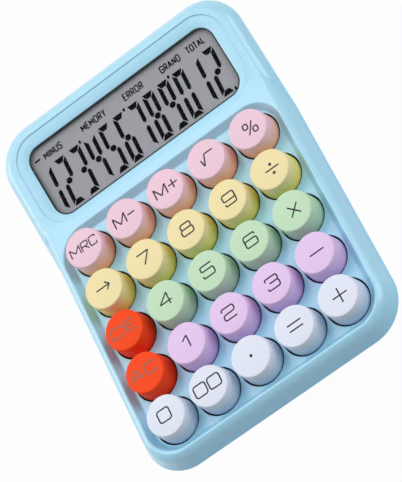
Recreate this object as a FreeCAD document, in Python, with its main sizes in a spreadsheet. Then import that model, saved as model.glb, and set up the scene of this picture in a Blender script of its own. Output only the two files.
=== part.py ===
import FreeCAD, Part
import math
import os

import Sketcher

# Desk calculator with a bent two-part case, a tilted display and 25 round keys.
# Frame: the table is z = 0, +Y runs from the front edge to the display, +X is to the right.

KEY_ROWS = (
    ("recall", "memory_minus", "memory_plus", "root", "percent"),
    ("backspace", "7", "8", "9", "divide"),
    ("clear_entry", "4", "5", "6", "multiply"),
    ("all_clear", "1", "2", "3", "subtract"),
    ("0", "double_zero", "point", "equals", "add"),
)

# Driving dimensions in millimetres and degrees.
SIZES = (
    ("key_pitch", "20"),
    ("key_hole", "18.9"),
    ("key_top", "16.2"),
    ("key_base", "17.7"),
    ("key_rise", "8.8"),
    ("key_edge", "0.6"),
    ("key_flange", "19.6"),
    ("key_flange_thick", "1.2"),
    ("key_wall", "1.4"),
    ("key_roof", "1.6"),
    ("key_plunger", "4"),
    ("key_gap", "0.1"),
    ("key_travel", "3"),
    ("well_margin", "0.75"),
    ("well_run", "2.2"),
    ("rim_rise", "3.3"),
    ("rim_land", "0.9"),
    ("rim_slope", "4.5"),
    ("rim_depth", "8.6"),
    ("rim_crown", "1.2"),
    ("shoulder_drop", "3.6"),
    ("shoulder_spread", "3"),
    ("case_corner", "17"),
    ("case_wall", "2"),
    ("cavity_run", "1.6"),
    ("deck_thick", "2"),
    ("ridge_width", "7.6"),
    ("bend_lean", "16.8"),
    ("tilt", "13.3"),
    ("view_width", "90.4"),
    ("view_height", "30.4"),
    ("view_corner", "6"),
    ("dish_lead", "3"),
    ("dish_front", "3.2"),
    ("dish_border", "5.5"),
    ("dish_margin", "1.4"),
    ("dish_corner", "11.5"),
    ("dish_step", "0.5"),
    ("dish_land", "1.6"),
    ("dish_depth", "1.2"),
    ("window_lip", "0.6"),
    ("gasket_width", "0.5"),
    ("gasket_rise", "0.5"),
    ("lens_overlap", "1.4"),
    ("lens_thick", "0.8"),
    ("dust_gasket_thick", "0.3"),
    ("dust_gasket_width", "1"),
    ("glass_thick", "1.1"),
    ("glass_overlap", "1.2"),
    ("glass_ledge", "2.6"),
    ("reflector_thick", "0.3"),
    ("frame_gap", "0.2"),
    ("frame_wall", "1.2"),
    ("frame_floor", "1.2"),
    ("frame_post", "4"),
    ("frame_post_inset", "6"),
    ("frame_peg", "2"),
    ("frame_peg_gap", "0.1"),
    ("frame_peg_head", "3.4"),
    ("frame_peg_head_thick", "0.6"),
    ("foot_rise", "1.2"),
    ("foot_diameter", "9"),
    ("foot_inset", "10"),
    ("hull_inset", "5.2"),
    ("floor_thick", "1.8"),
    ("floor_inset", "1.2"),
    ("post_rise", "1"),
    ("post_side", "5.2"),
    ("post_gap", "0.6"),
    ("case_screw", "2.5"),
    ("case_screw_head", "4.4"),
    ("case_screw_head_thick", "1.4"),
    ("case_screw_bite", "6"),
    ("screw_gap", "0.1"),
    ("head_recess", "1.6"),
    ("board_thick", "1.6"),
    ("board_margin", "5"),
    ("board_back", "9.5"),
    ("board_corner", "3"),
    ("mat_thick", "1"),
    ("mat_inset", "1"),
    ("dome_base", "8"),
    ("dome_top", "5.6"),
    ("dome_rest", "0.8"),
    ("dome_gap", "0.1"),
    ("plunger_hang", "2.5"),
    ("chip_diameter", "9"),
    ("chip_rise", "0.8"),
    ("chip_offset", "15"),
    ("capacitor_diameter", "5"),
    ("capacitor_rise", "6"),
    ("ribbon_gap", "1.6"),
    ("ribbon_thick", "0.2"),
    ("ribbon_bend", "1.6"),
    ("ribbon_landing", "3"),
    ("cell_diameter", "10.5"),
    ("cell_length", "43.3"),
    ("cell_nub", "3.8"),
    ("cell_nub_rise", "1.2"),
    ("cell_gap", "0.3"),
    ("cell_inset", "10"),
    ("bay_wall", "1.4"),
    ("bay_height", "6"),
    ("contact_thick", "0.4"),
    ("contact_width", "8"),
    ("contact_spring", "4"),
    ("contact_dimple", "2.4"),
    ("contact_dimple_rise", "0.4"),
    ("door_plate", "0.6"),
    ("door_tongue", "0.6"),
    ("door_tongue_reach", "1"),
    ("door_gap", "0.2"),
    ("door_lap", "2"),
    ("door_grip_depth", "0.3"),
    ("door_grip_width", "1"),
    ("door_grip_pitch", "2.2"),
    ("door_grip_length", "16"),
    ("lead_diameter", "1.2"),
)

# Sizes worked out from the driving dimensions. Lengths named "along" and "down" are measured
# in the tilted display face, from the bend line backwards and from the crest plane downwards.
LAYOUT = (
    ("well_foot", "2 * Sizes.key_pitch + Sizes.key_hole / 2 + Sizes.well_margin"),
    ("well_mouth", "Layout.well_foot + Sizes.well_run"),
    ("well_corner", "Sizes.key_hole / 2 + Sizes.well_margin"),
    ("dish_half", "Sizes.view_width / 2 + Sizes.dish_border"),
    ("land_half", "max(Layout.well_mouth; Layout.dish_half + Sizes.dish_margin) + Sizes.rim_land"),
    ("case_half", "Layout.land_half + Sizes.rim_slope"),
    ("floor_top", "Sizes.foot_rise + Sizes.floor_thick"),
    ("board_under", "Layout.floor_top + Sizes.post_rise"),
    ("board_top", "Layout.board_under + Sizes.board_thick"),
    ("mat_top", "Layout.board_top + Sizes.mat_thick"),
    ("dome_rise", "Sizes.key_travel + Sizes.dome_rest"),
    ("key_foot", "Layout.mat_top + Layout.dome_rise + Sizes.dome_gap"),
    ("deck_under", "Layout.key_foot + Sizes.plunger_hang"),
    ("deck_top", "Layout.deck_under + Sizes.deck_thick"),
    ("crest", "Layout.deck_top + Sizes.rim_rise"),
    ("parting", "Layout.crest - Sizes.rim_depth"),
    ("back_depth", "Sizes.rim_depth * cos(Sizes.tilt) - Sizes.bend_lean * sin(Sizes.tilt)"),
    ("bend_along", "Sizes.bend_lean * cos(Sizes.tilt) + Sizes.rim_depth * sin(Sizes.tilt)"),
    ("window_along", "Sizes.dish_front - Sizes.dish_lead + Sizes.view_height / 2"),
    ("dish_back", "Layout.window_along + Sizes.view_height / 2 + Sizes.dish_border"),
    ("back_along", "Layout.dish_back + Sizes.rim_land + Sizes.rim_slope"),
    ("bend_reach", "Layout.well_mouth + Sizes.ridge_width"),
    ("back_reach", "Layout.back_along * cos(Sizes.tilt) + Layout.back_depth * sin(Sizes.tilt)"),
    ("case_length", "Layout.case_half + Layout.bend_reach + Layout.back_reach"),
    ("front_y", "-Layout.case_length / 2"),
    ("back_y", "Layout.case_length / 2"),
    ("grid_y", "Layout.front_y + Layout.case_half"),
    ("bend_y", "Layout.grid_y + Layout.bend_reach"),
    ("lean_y", "Layout.bend_y - Sizes.bend_lean"),
    ("plate_down", "Sizes.dish_depth + Sizes.window_lip"),
    ("cavity_along", "Sizes.dish_lead + Sizes.glass_ledge + Sizes.ribbon_bend"),
    ("opening_width", "Sizes.view_width + 2 * Sizes.gasket_width"),
    ("opening_height", "Sizes.view_height + 2 * Sizes.gasket_width"),
    ("lens_width", "Layout.opening_width + 2 * Sizes.lens_overlap"),
    ("lens_height", "Layout.opening_height + 2 * Sizes.lens_overlap"),
    ("glass_down", "Layout.plate_down + Sizes.lens_thick + Sizes.dust_gasket_thick"),
    ("glass_width", "Sizes.view_width + 2 * Sizes.glass_overlap"),
    ("glass_height", "Sizes.view_height + 2 * Sizes.glass_overlap"),
    ("rear_down", "Layout.glass_down + Sizes.glass_thick"),
    ("reflector_down", "Layout.rear_down + Sizes.glass_thick"),
    ("tray_down", "Layout.reflector_down + Sizes.reflector_thick"),
    ("frame_down", "Layout.tray_down + Sizes.frame_floor"),
    ("tray_width", "Layout.lens_width + 2 * Sizes.frame_gap"),
    ("tray_front", "Layout.glass_height / 2 + Sizes.glass_ledge + Sizes.frame_gap"),
    ("tray_back", "Layout.lens_height / 2 + Sizes.frame_gap"),
    ("frame_post_x", "Layout.tray_width / 2 + Sizes.frame_wall + Sizes.frame_post / 2"),
    ("frame_post_y", "Sizes.view_height / 2 - Sizes.frame_post_inset"),
    ("hull_half", "Layout.case_half - Sizes.hull_inset"),
    ("hull_corner", "Sizes.case_corner - Sizes.hull_inset"),
    ("post_spread", "1.5 * Sizes.key_pitch"),
    ("board_width", "4 * Sizes.key_pitch + Sizes.dome_base + 2 * Sizes.board_margin"),
    ("board_length", "Layout.board_width / 2 + 2 * Sizes.key_pitch + Sizes.dome_base / 2 + Sizes.board_back"),
    ("board_y", "Layout.grid_y - Layout.board_width / 2 + Layout.board_length / 2"),
    ("strip_y", "Layout.board_y + Layout.board_length / 2 - (Sizes.board_back - Sizes.board_margin) / 2 "
     "- Sizes.mat_inset / 2"),
    ("door_under", "Sizes.foot_rise + Sizes.door_plate"),
    ("door_top", "Layout.door_under + Sizes.door_tongue"),
    ("cell_y", "Layout.back_y - Sizes.hull_inset - Sizes.cell_inset"),
    ("cell_z", "Layout.door_top + Sizes.door_gap + Sizes.cell_gap + Sizes.cell_diameter / 2"),
    ("bay_width", "Sizes.cell_diameter + 2 * Sizes.cell_gap"),
    ("bay_length", "Sizes.cell_length + Sizes.cell_nub_rise + 2 * Sizes.contact_thick + "
     "Sizes.contact_dimple_rise + Sizes.contact_spring + 2 * Sizes.cell_gap"),
    ("bay_top", "Layout.floor_top + Sizes.bay_height"),
    ("lead_x", "Layout.bay_length / 2 - Sizes.contact_thick - Sizes.lead_diameter / 2"),
    ("ribbon_width", "2 * Layout.lead_x - Sizes.lead_diameter - 2 * Sizes.ribbon_gap"),
    ("door_width", "Layout.bay_length + 2 * Sizes.door_lap"),
    ("door_front", "Layout.cell_y - Layout.bay_width / 2 - Sizes.door_lap"),
    ("door_length", "Layout.back_y - Sizes.hull_inset - Sizes.door_gap - Layout.door_front"),
    ("foot_x", "Layout.hull_half - Sizes.foot_inset"),
    ("foot_front_y", "Layout.front_y + Sizes.hull_inset + Sizes.foot_inset"),
    ("foot_back_y", "Layout.back_y - Sizes.hull_inset - Sizes.foot_inset"),
)

SQUARE = ((-1, -1), (1, -1), (-1, 1), (1, 1))
KEY_STEPS = [(column, row) for row in range(-2, 3) for column in range(-2, 3)]

doc = FreeCAD.newDocument("desk_calculator")
pieces = []


def add_sheet(name, rows, lead):
    """Write one spreadsheet row per named size."""
    sheet = doc.addObject("Spreadsheet::Sheet", name)
    for number, (alias, text) in enumerate(rows, start=1):
        sheet.set(f"A{number}", alias)
        sheet.setAlias(f"B{number}", alias)
        sheet.set(f"B{number}", lead + text)
    doc.recompute()
    return sheet


sizes = add_sheet("Sizes", SIZES, "")
layout = add_sheet("Layout", LAYOUT, "=")


def value(expression):
    """Work out an expression on the two sheets as a plain number."""
    return float(sizes.evalExpression(expression))


def slab(along, down):
    """Place of a point of the display face: along it from the bend, and down below its crest."""
    y = f"Layout.bend_y + ({along}) * cos(Sizes.tilt) + ({down}) * sin(Sizes.tilt)"
    z = f"Layout.crest + ({along}) * sin(Sizes.tilt) - ({down}) * cos(Sizes.tilt)"
    return ("0", y, z)


def bind(item, prefix, base, tilted):
    """Tie a placement to expressions, tipped with the display face where asked."""
    turn = FreeCAD.Rotation(FreeCAD.Vector(1, 0, 0), value("Sizes.tilt") if tilted else 0)
    setattr(item, prefix, FreeCAD.Placement(FreeCAD.Vector(), turn))
    if tilted:
        item.setExpression(f"{prefix}.Rotation.Angle", "Sizes.tilt")
    for axis, expression in zip("xyz", base):
        item.setExpression(f"{prefix}.Base.{axis}", expression)


def new_body(label, base=("0", "0", "0"), tilted=False):
    """Start a sub-part whose own origin lies at the given place."""
    body = doc.addObject("PartDesign::Body", label)
    body.Label = label
    bind(body, "Placement", base, tilted)
    pieces.append(body)
    return body


def new_sketch(body, name, base=("0", "0", "0"), tilted=False, role="XY_Plane"):
    """Attach a sketch to one of the body's own origin planes, offset by expressions."""
    sketch = body.newObject("Sketcher::SketchObject", name)
    plane = next(item for item in body.Origin.OriginFeatures if item.Role == role)
    sketch.AttachmentSupport = [(plane, "")]
    sketch.MapMode = "FlatFace"
    bind(sketch, "AttachmentOffset", base, tilted)
    return sketch


def drive(sketch, name, expression, constraint):
    """Add a constraint whose value follows an expression."""
    index = sketch.addConstraint(Sketcher.Constraint(*constraint, value(expression)))
    sketch.renameConstraint(index, name)
    sketch.setExpression(f"Constraints.{name}", expression)


def line(sketch, start, end):
    """Add a straight edge and return its number."""
    return sketch.addGeometry(Part.LineSegment(FreeCAD.Vector(*start, 0), FreeCAD.Vector(*end, 0)))


def corner(sketch, centre, radius, start_degrees):
    """Add a quarter arc and return its number."""
    circle = Part.Circle(FreeCAD.Vector(*centre, 0), FreeCAD.Vector(0, 0, 1), radius)
    start = math.radians(start_degrees)
    return sketch.addGeometry(Part.ArcOfCircle(circle, start, start + math.pi / 2))


def link(sketch, *constraints):
    """Add constraints that hold no size."""
    for constraint in constraints:
        sketch.addConstraint(Sketcher.Constraint(*constraint))


def rounded_rectangle(sketch, width, height, radius):
    """Draw a rectangle with round corners about the sketch origin."""
    x = value(width) / 2
    y = value(height) / 2
    r = value(radius)
    first = sketch.GeometryCount
    low = line(sketch, (r - x, -y), (x - r, -y))
    right = line(sketch, (x, r - y), (x, y - r))
    high = line(sketch, (x - r, y), (r - x, y))
    left = line(sketch, (-x, y - r), (-x, r - y))
    arcs = [
        corner(sketch, (x - r, r - y), r, 270),
        corner(sketch, (x - r, y - r), r, 0),
        corner(sketch, (r - x, y - r), r, 90),
        corner(sketch, (r - x, r - y), r, 180),
    ]
    for before, arc, after in zip((low, right, high, left), arcs, (right, high, left, low)):
        link(sketch, ("Tangent", before, 2, arc, 1), ("Tangent", arc, 2, after, 1))
    link(sketch, ("Horizontal", low), ("Vertical", right), ("Horizontal", high), ("Vertical", left))
    link(sketch, *[("Equal", arcs[0], arc) for arc in arcs[1:]])
    link(sketch, ("Symmetric", arcs[0], 3, arcs[2], 3, -1, 1))
    drive(sketch, f"radius{first}", radius, ("Radius", arcs[0]))
    drive(sketch, f"width{first}", width, ("DistanceX", left, 1, right, 1))
    drive(sketch, f"height{first}", height, ("DistanceY", low, 1, high, 1))


def rectangle(sketch, width, height, x="0", y="0"):
    """Draw a square-cornered rectangle about a point given as a pair of expressions."""
    left = f"{x} - ({width}) / 2"
    right = f"{x} + ({width}) / 2"
    low = f"{y} - ({height}) / 2"
    high = f"{y} + ({height}) / 2"
    polygon(sketch, ((left, low), (right, low), (right, high), (left, high)))


def squares(sketch, side, centres):
    """Draw equal squares about points given as pairs of expressions."""
    for x, y in centres:
        rectangle(sketch, side, side, x, y)


def octagon(sketch, width):
    """Draw a regular octagon about the sketch origin, with its flats square to the axes."""
    flat = f"({width}) / 2"
    half_side = f"({width}) / 2 * tan(22.5)"
    steps = ((1, 0), (0, 1), (-1, 0), (0, -1))
    points = []
    for (x, y), (across, up) in zip(steps, steps[1:] + steps[:1]):
        for side in (-1, 1):
            points.append(
                (
                    f"{x} * {flat} + {side * across} * {half_side}",
                    f"{y} * {flat} + {side * up} * {half_side}",
                )
            )
    polygon(sketch, points)


def tongue(sketch, width, reach, radius, way):
    """Draw a round-cornered tongue that reaches along +Y or -Y from a straight edge at the origin."""
    x = value(width) / 2
    y = value(reach)
    r = value(radius)
    root = line(sketch, (-x, 0), (x, 0))
    right = line(sketch, (x, 0), (x, way * (y - r)))
    end = line(sketch, (x - r, way * y), (r - x, way * y))
    left = line(sketch, (-x, way * (y - r)), (-x, 0))
    near, far = (1, 2) if way > 0 else (2, 1)
    right_arc = corner(sketch, (x - r, way * (y - r)), r, 0 if way > 0 else 270)
    left_arc = corner(sketch, (r - x, way * (y - r)), r, 90 if way > 0 else 180)
    link(sketch, ("Coincident", root, 2, right, 1), ("Coincident", left, 2, root, 1))
    link(sketch, ("Tangent", right, 2, right_arc, near), ("Tangent", right_arc, far, end, 1))
    link(sketch, ("Tangent", end, 2, left_arc, near), ("Tangent", left_arc, far, left, 1))
    link(sketch, ("Horizontal", root), ("Vertical", right), ("Horizontal", end), ("Vertical", left))
    link(sketch, ("Symmetric", root, 1, root, 2, -1, 1), ("Equal", right_arc, left_arc))
    drive(sketch, "radius", radius, ("Radius", right_arc))
    drive(sketch, "width", width, ("DistanceX", root, 1, root, 2))
    ends = (root, 1, end, 1) if way > 0 else (end, 1, root, 1)
    drive(sketch, "reach", reach, ("DistanceY", *ends))


def circles(sketch, diameter, centres):
    """Draw equal circles whose centres are pairs of expressions."""
    base = sketch.GeometryCount
    for number, (x, y) in enumerate(centres):
        centre = FreeCAD.Vector(value(x), value(y), 0)
        circle = sketch.addGeometry(Part.Circle(centre, FreeCAD.Vector(0, 0, 1), value(diameter) / 2))
        pin(sketch, circle, 3, x, y, f"{base}_{number}")
        if number:
            link(sketch, ("Equal", base, circle))
    drive(sketch, f"diameter{base}", diameter, ("Diameter", base))


def pin(sketch, item, end, x, y, name):
    """Hold a point of a sketch at a pair of expressions."""
    for axis, other, kind, expression in (("x", -2, "DistanceX", x), ("y", -1, "DistanceY", y)):
        amount = value(expression)
        if abs(amount) < 1e-9:
            link(sketch, ("PointOnObject", item, end, other))
        elif amount > 0:
            drive(sketch, f"{axis}{name}", expression, (kind, -1, 1, item, end))
        else:
            drive(sketch, f"{axis}{name}", f"-({expression})", (kind, item, end, -1, 1))


def polygon(sketch, points):
    """Draw a closed outline through points given as pairs of expressions."""
    places = [(value(x), value(y)) for x, y in points]
    edges = [line(sketch, places[i], places[(i + 1) % len(places)]) for i in range(len(places))]
    for number, edge in enumerate(edges):
        link(sketch, ("Coincident", edges[number - 1], 2, edge, 1))
        pin(sketch, edge, 1, *points[number], str(edge))


def measure(body):
    """Volume of a body as it stands."""
    doc.recompute()
    return 0.0 if body.Shape.isNull() else body.Shape.Volume


def extrude(body, kind, name, sketch, length, reverse=False):
    """Pad or pocket a sketch, and make sure that it changed the body."""
    before = measure(body)
    feature = body.newObject(f"PartDesign::{kind}", name)
    feature.Profile = sketch
    feature.Reversed = reverse
    feature.setExpression("Length", length)
    check_change(body, name, before)
    return feature


def pad(body, name, sketch, length, reverse=False):
    """Raise a sketch into a solid."""
    return extrude(body, "Pad", name, sketch, length, reverse)


def pocket(body, name, sketch, length, reverse=False):
    """Cut a sketch into a solid."""
    return extrude(body, "Pocket", name, sketch, length, reverse)


def check_change(body, name, before):
    """Stop if a feature left its body as it was."""
    after = measure(body)
    if abs(after - before) < 1e-6:
        raise ValueError(f"{body.Label}: {name} changed nothing")


def loft(body, kind, name, sections, ruled=True):
    """Join sketches by straight-ruled or smooth faces, as a solid or as a cut."""
    before = measure(body)
    feature = body.newObject(f"PartDesign::{kind}Loft", name)
    feature.Profile = sections[0]
    feature.Sections = [(section, [""]) for section in sections[1:]]
    feature.Ruled = ruled
    check_change(body, name, before)
    return feature


def revolve(body, name, points):
    """Turn an outline of radius and height pairs about the body's Z axis."""
    before = measure(body)
    sketch = new_sketch(body, f"{name}_section", role="XZ_Plane")
    polygon(sketch, points)
    feature = body.newObject("PartDesign::Revolution", name)
    feature.Profile = sketch
    feature.ReferenceAxis = (sketch, ["V_Axis"])
    feature.Angle = 360
    check_change(body, name, before)
    return feature


def grid_places(steps, spread):
    """Pairs of expressions for points spread about an origin."""
    return [(f"{x} * {spread}", f"{y} * {spread}") for x, y in steps]


def rim_level(part):
    """Sizes of the rim outline at one level of its rounded profile, from crest (0) to parting (1)."""
    near = round(3 * part * (1 - part) ** 2, 6)
    middle = round(3 * part**2 * (1 - part), 6)
    end = round(part**3, 6)
    spread = f"({near} * Sizes.rim_crown + {middle} * Sizes.shoulder_spread + {end} * Sizes.rim_slope)"
    fraction = f"({middle} * Sizes.shoulder_drop / Sizes.rim_depth + {end})"
    inset = f"(Sizes.rim_slope - {spread})"
    return {
        "width": f"2 * (Layout.case_half - {inset})",
        "radius": f"Sizes.case_corner - {inset}",
        "front": f"Layout.bend_y - {fraction} * Sizes.bend_lean - Layout.front_y - {inset}",
        "back": f"Layout.back_along - {inset} + {fraction} * Layout.bend_along",
        "front_base": (
            "0",
            f"Layout.bend_y - {fraction} * Sizes.bend_lean",
            f"Layout.crest - {fraction} * Sizes.rim_depth",
        ),
        "back_base": slab(f"-{fraction} * Layout.bend_along", f"{fraction} * Layout.back_depth"),
    }


RIM_STEPS = 3
RIM = [rim_level(step / RIM_STEPS) for step in range(RIM_STEPS, -1, -1)]


def front_outline(body, name, level):
    """Outline of the flat part of the case at one level."""
    sketch = new_sketch(body, name, level["front_base"])
    tongue(sketch, level["width"], level["front"], level["radius"], -1)
    return sketch


def back_outline(body, name, level):
    """Outline of the tilted part of the case at one level."""
    sketch = new_sketch(body, name, level["back_base"], tilted=True)
    tongue(sketch, level["width"], level["back"], level["radius"], 1)
    return sketch


def make_top_case():
    """Upper shell: bent rim, key well with its holes, dished display surround and bosses."""
    body = new_body("top_case")
    for name, outline in (("front_rim", front_outline), ("back_rim", back_outline)):
        sections = [outline(body, f"{name}_{number}", level) for number, level in enumerate(RIM)]
        loft(body, "Additive", name, sections, ruled=False)
    cut_well(body)
    cut_display(body)
    hollow_top(body)
    add_case_bosses(body)
    add_frame_posts(body)
    return body


def cut_well(body):
    """Sloped key well, whose corners run round the corner keys, and the holes that guide the keys."""
    mouth = new_sketch(body, "well_mouth", ("0", "Layout.grid_y", "Layout.crest"))
    rounded_rectangle(
        mouth, "2 * Layout.well_mouth", "2 * Layout.well_mouth", "Layout.well_corner + Sizes.well_run"
    )
    foot = new_sketch(body, "well_foot", ("0", "Layout.grid_y", "Layout.deck_top"))
    rounded_rectangle(foot, "2 * Layout.well_foot", "2 * Layout.well_foot", "Layout.well_corner")
    loft(body, "Subtractive", "key_well", [mouth, foot])
    holes = new_sketch(body, "key_hole_places", ("0", "Layout.grid_y", "Layout.deck_top"))
    circles(holes, "Sizes.key_hole", grid_places(KEY_STEPS, "Sizes.key_pitch"))
    pocket(body, "key_holes", holes, "Sizes.deck_thick + Sizes.rim_depth")


def cut_display(body):
    """Stepped and sloped dish round the window, and the window opening."""
    over = "2 * Sizes.rim_rise"
    dish_along = "(Layout.window_along + (Sizes.dish_border - Sizes.dish_front) / 2)"
    dish_height = "(Sizes.view_height + Sizes.dish_border + Sizes.dish_front)"
    mouth = new_sketch(body, "dish_mouth", slab(dish_along, f"-{over}"), tilted=True)
    rounded_rectangle(mouth, "2 * Layout.dish_half", dish_height, "Sizes.dish_corner")
    pocket(body, "dish_step", mouth, f"{over} + Sizes.dish_step")
    land = new_sketch(body, "dish_land", slab(dish_along, "Sizes.dish_step"), tilted=True)
    rounded_rectangle(
        land,
        "2 * (Layout.dish_half - Sizes.dish_land)",
        f"{dish_height} - 2 * Sizes.dish_land",
        "Sizes.dish_corner - Sizes.dish_land",
    )
    edge = new_sketch(body, "dish_edge", slab("Layout.window_along", "Sizes.dish_depth"), tilted=True)
    rounded_rectangle(
        edge, "Layout.opening_width", "Layout.opening_height", "Sizes.view_corner + Sizes.gasket_width"
    )
    loft(body, "Subtractive", "dish_slope", [land, edge])
    opening = new_sketch(body, "window_edge", slab("Layout.window_along", "Sizes.dish_depth"), tilted=True)
    rounded_rectangle(
        opening, "Layout.opening_width", "Layout.opening_height", "Sizes.view_corner + Sizes.gasket_width"
    )
    pocket(body, "window", opening, "2 * Sizes.window_lip")


def hollow_top(body):
    """Hollow underside of the flat part and of the tilted part."""
    inner = "(Layout.case_half - Sizes.case_wall)"
    upper = f"({inner} - Sizes.cavity_run)"
    end = "(Layout.bend_y - Layout.cavity_along + 2 * Sizes.case_wall)"
    sections = []
    for name, half, height in (
        ("lower", inner, "Layout.parting - Sizes.case_wall"),
        ("upper", upper, "Layout.deck_under"),
    ):
        sketch = new_sketch(body, f"front_cavity_{name}", ("0", end, height))
        reach = f"{end} - Layout.front_y - (Layout.case_half - {half})"
        tongue(sketch, f"2 * {half}", reach, f"Sizes.case_corner - (Layout.case_half - {half})", -1)
        sections.append(sketch)
    loft(body, "Subtractive", "front_cavity", sections)
    sections = []
    for name, half, down in (
        ("lower", inner, "Layout.back_depth + Sizes.case_wall"),
        ("upper", upper, "Layout.plate_down"),
    ):
        sketch = new_sketch(
            body, f"back_cavity_{name}", slab("-Layout.cavity_along", down), tilted=True
        )
        reach = f"Layout.cavity_along + Layout.back_along - (Layout.case_half - {half})"
        tongue(sketch, f"2 * {half}", reach, f"Sizes.case_corner - (Layout.case_half - {half})", 1)
        sections.append(sketch)
    loft(body, "Subtractive", "back_cavity", sections)


def add_case_bosses(body):
    """Four square bosses between the keys that take the case screws."""
    places = grid_places(SQUARE, "Layout.post_spread")
    ends = new_sketch(body, "case_boss_ends", ("0", "Layout.grid_y", "Layout.board_top"))
    squares(ends, "Sizes.post_side", places)
    pad(body, "case_bosses", ends, "Layout.deck_under - Layout.board_top + Sizes.deck_thick / 2")
    holes = new_sketch(body, "case_boss_bores", ("0", "Layout.grid_y", "Layout.board_top"))
    circles(holes, "Sizes.case_screw + 2 * Sizes.screw_gap", places)
    pocket(body, "case_boss_holes", holes, "Sizes.case_screw_bite + Sizes.screw_gap", reverse=True)


def frame_post_places():
    """Centres of the display posts about the window centre."""
    return [(f"{x} * Layout.frame_post_x", f"{y} * Layout.frame_post_y") for x, y in SQUARE]


def add_frame_posts(body):
    """Four posts under the display surround, with pegs melted over the wings of the display tray."""
    head = "(Layout.frame_down + Sizes.frame_peg_gap + Sizes.frame_peg_head_thick)"
    for name, side, down, length in (
        (
            "frame_posts",
            "Sizes.frame_post",
            "Layout.tray_down",
            "Layout.tray_down - Layout.plate_down + Sizes.window_lip / 2",
        ),
        ("frame_pegs", "Sizes.frame_peg", head, f"{head} - Layout.tray_down"),
        ("frame_peg_heads", "Sizes.frame_peg_head", head, "Sizes.frame_peg_head_thick"),
    ):
        ends = new_sketch(body, f"{name}_ends", slab("Layout.window_along", down), tilted=True)
        squares(ends, side, frame_post_places())
        pad(body, name, ends, length)


def make_bottom_case():
    """Lower shell: tucked-in hull, floor, screw posts, battery bay and recesses."""
    body = new_body("bottom_case")
    reach_front = "Layout.lean_y - Layout.front_y"
    reach_back = "Layout.back_y - Layout.lean_y"
    foot = new_sketch(body, "front_hull_foot", ("0", "Layout.lean_y", "Sizes.foot_rise"))
    tongue(foot, "2 * Layout.hull_half", f"{reach_front} - Sizes.hull_inset", "Layout.hull_corner", -1)
    loft(body, "Additive", "front_hull", [foot, front_outline_at_parting(body)])
    foot = new_sketch(body, "back_hull_foot", ("0", "Layout.lean_y", "Sizes.foot_rise"))
    tongue(foot, "2 * Layout.hull_half", f"{reach_back} - Sizes.hull_inset", "Layout.hull_corner", 1)
    loft(body, "Additive", "back_hull", [foot, back_outline(body, "back_hull_mouth", RIM[0])])
    hollow_bottom(body, reach_front, reach_back)
    add_posts(body)
    add_bay(body)
    return body


def front_outline_at_parting(body):
    """Mouth of the flat part of the hull."""
    sketch = new_sketch(body, "front_hull_mouth", ("0", "Layout.lean_y", "Layout.parting"))
    tongue(sketch, RIM[0]["width"], "Layout.lean_y - Layout.front_y", RIM[0]["radius"], -1)
    return sketch


def hollow_bottom(body, reach_front, reach_back):
    """Hollow inside of the hull, open at the parting line."""
    floor_half = "(Layout.hull_half - Sizes.floor_inset)"
    floor_step = "(Sizes.hull_inset + Sizes.floor_inset)"
    floor_radius = "Layout.hull_corner - Sizes.floor_inset"
    mouth_half = "(Layout.case_half - Sizes.case_wall)"
    mouth_radius = "Sizes.case_corner - Sizes.case_wall"
    lap = "Sizes.case_wall"
    end = f"Layout.lean_y + {lap}"
    floor = new_sketch(body, "front_hollow_floor", ("0", end, "Layout.floor_top"))
    tongue(floor, f"2 * {floor_half}", f"{reach_front} + {lap} - {floor_step}", floor_radius, -1)
    mouth = new_sketch(body, "front_hollow_mouth", ("0", end, "Layout.parting"))
    tongue(mouth, f"2 * {mouth_half}", f"{reach_front} + {lap} - Sizes.case_wall", mouth_radius, -1)
    loft(body, "Subtractive", "front_hollow", [floor, mouth])
    floor = new_sketch(body, "back_hollow_floor", ("0", "Layout.lean_y", "Layout.floor_top"))
    tongue(floor, f"2 * {floor_half}", f"{reach_back} - {floor_step}", floor_radius, 1)
    mouth = new_sketch(
        body, "back_hollow_mouth", slab("-Layout.bend_along", "Layout.back_depth"), tilted=True
    )
    mouth_reach = "Layout.back_along + Layout.bend_along - Sizes.case_wall"
    tongue(mouth, f"2 * {mouth_half}", mouth_reach, mouth_radius, 1)
    loft(body, "Subtractive", "back_hollow", [floor, mouth])


def add_posts(body):
    """Square posts under the bosses of the top case, with counterbored screw holes."""
    places = grid_places(SQUARE, "Layout.post_spread")
    posts = new_sketch(body, "post_places", ("0", "Layout.grid_y", "Layout.board_top"))
    squares(posts, "Sizes.post_side", places)
    pad(body, "posts", posts, "Layout.board_top - Layout.floor_top + Sizes.floor_thick / 4", reverse=True)
    rests = new_sketch(body, "board_rest_places", ("0", "Layout.board_y", "Layout.board_under"))
    squares(rests, "Sizes.post_side", board_rest_places())
    pad(body, "board_rests", rests, "Sizes.post_rise + Sizes.floor_thick / 4", reverse=True)
    bores = new_sketch(body, "post_bores", ("0", "Layout.grid_y", "Sizes.foot_rise"))
    circles(bores, "Sizes.case_screw + 2 * Sizes.screw_gap", places)
    pocket(body, "post_holes", bores, "Layout.board_top - Sizes.foot_rise", reverse=True)
    heads = new_sketch(body, "head_places", ("0", "Layout.grid_y", "Sizes.foot_rise"))
    circles(heads, "Sizes.case_screw_head + 4 * Sizes.screw_gap", places)
    pocket(body, "head_recesses", heads, "Sizes.head_recess", reverse=True)


def board_rest_places():
    """Centres of the board's rests about the board centre, one near each corner."""
    x = "(Layout.board_width / 2 - Sizes.post_side)"
    y = "(Layout.board_length / 2 - Sizes.post_side)"
    return [(f"{across} * {x}", f"{up} * {y}") for across, up in SQUARE]


def foot_places():
    """Centres of the four feet."""
    rows = ("Layout.foot_front_y", "Layout.foot_back_y")
    return [(f"{side} * Layout.foot_x", row) for row in rows for side in (-1, 1)]


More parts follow.
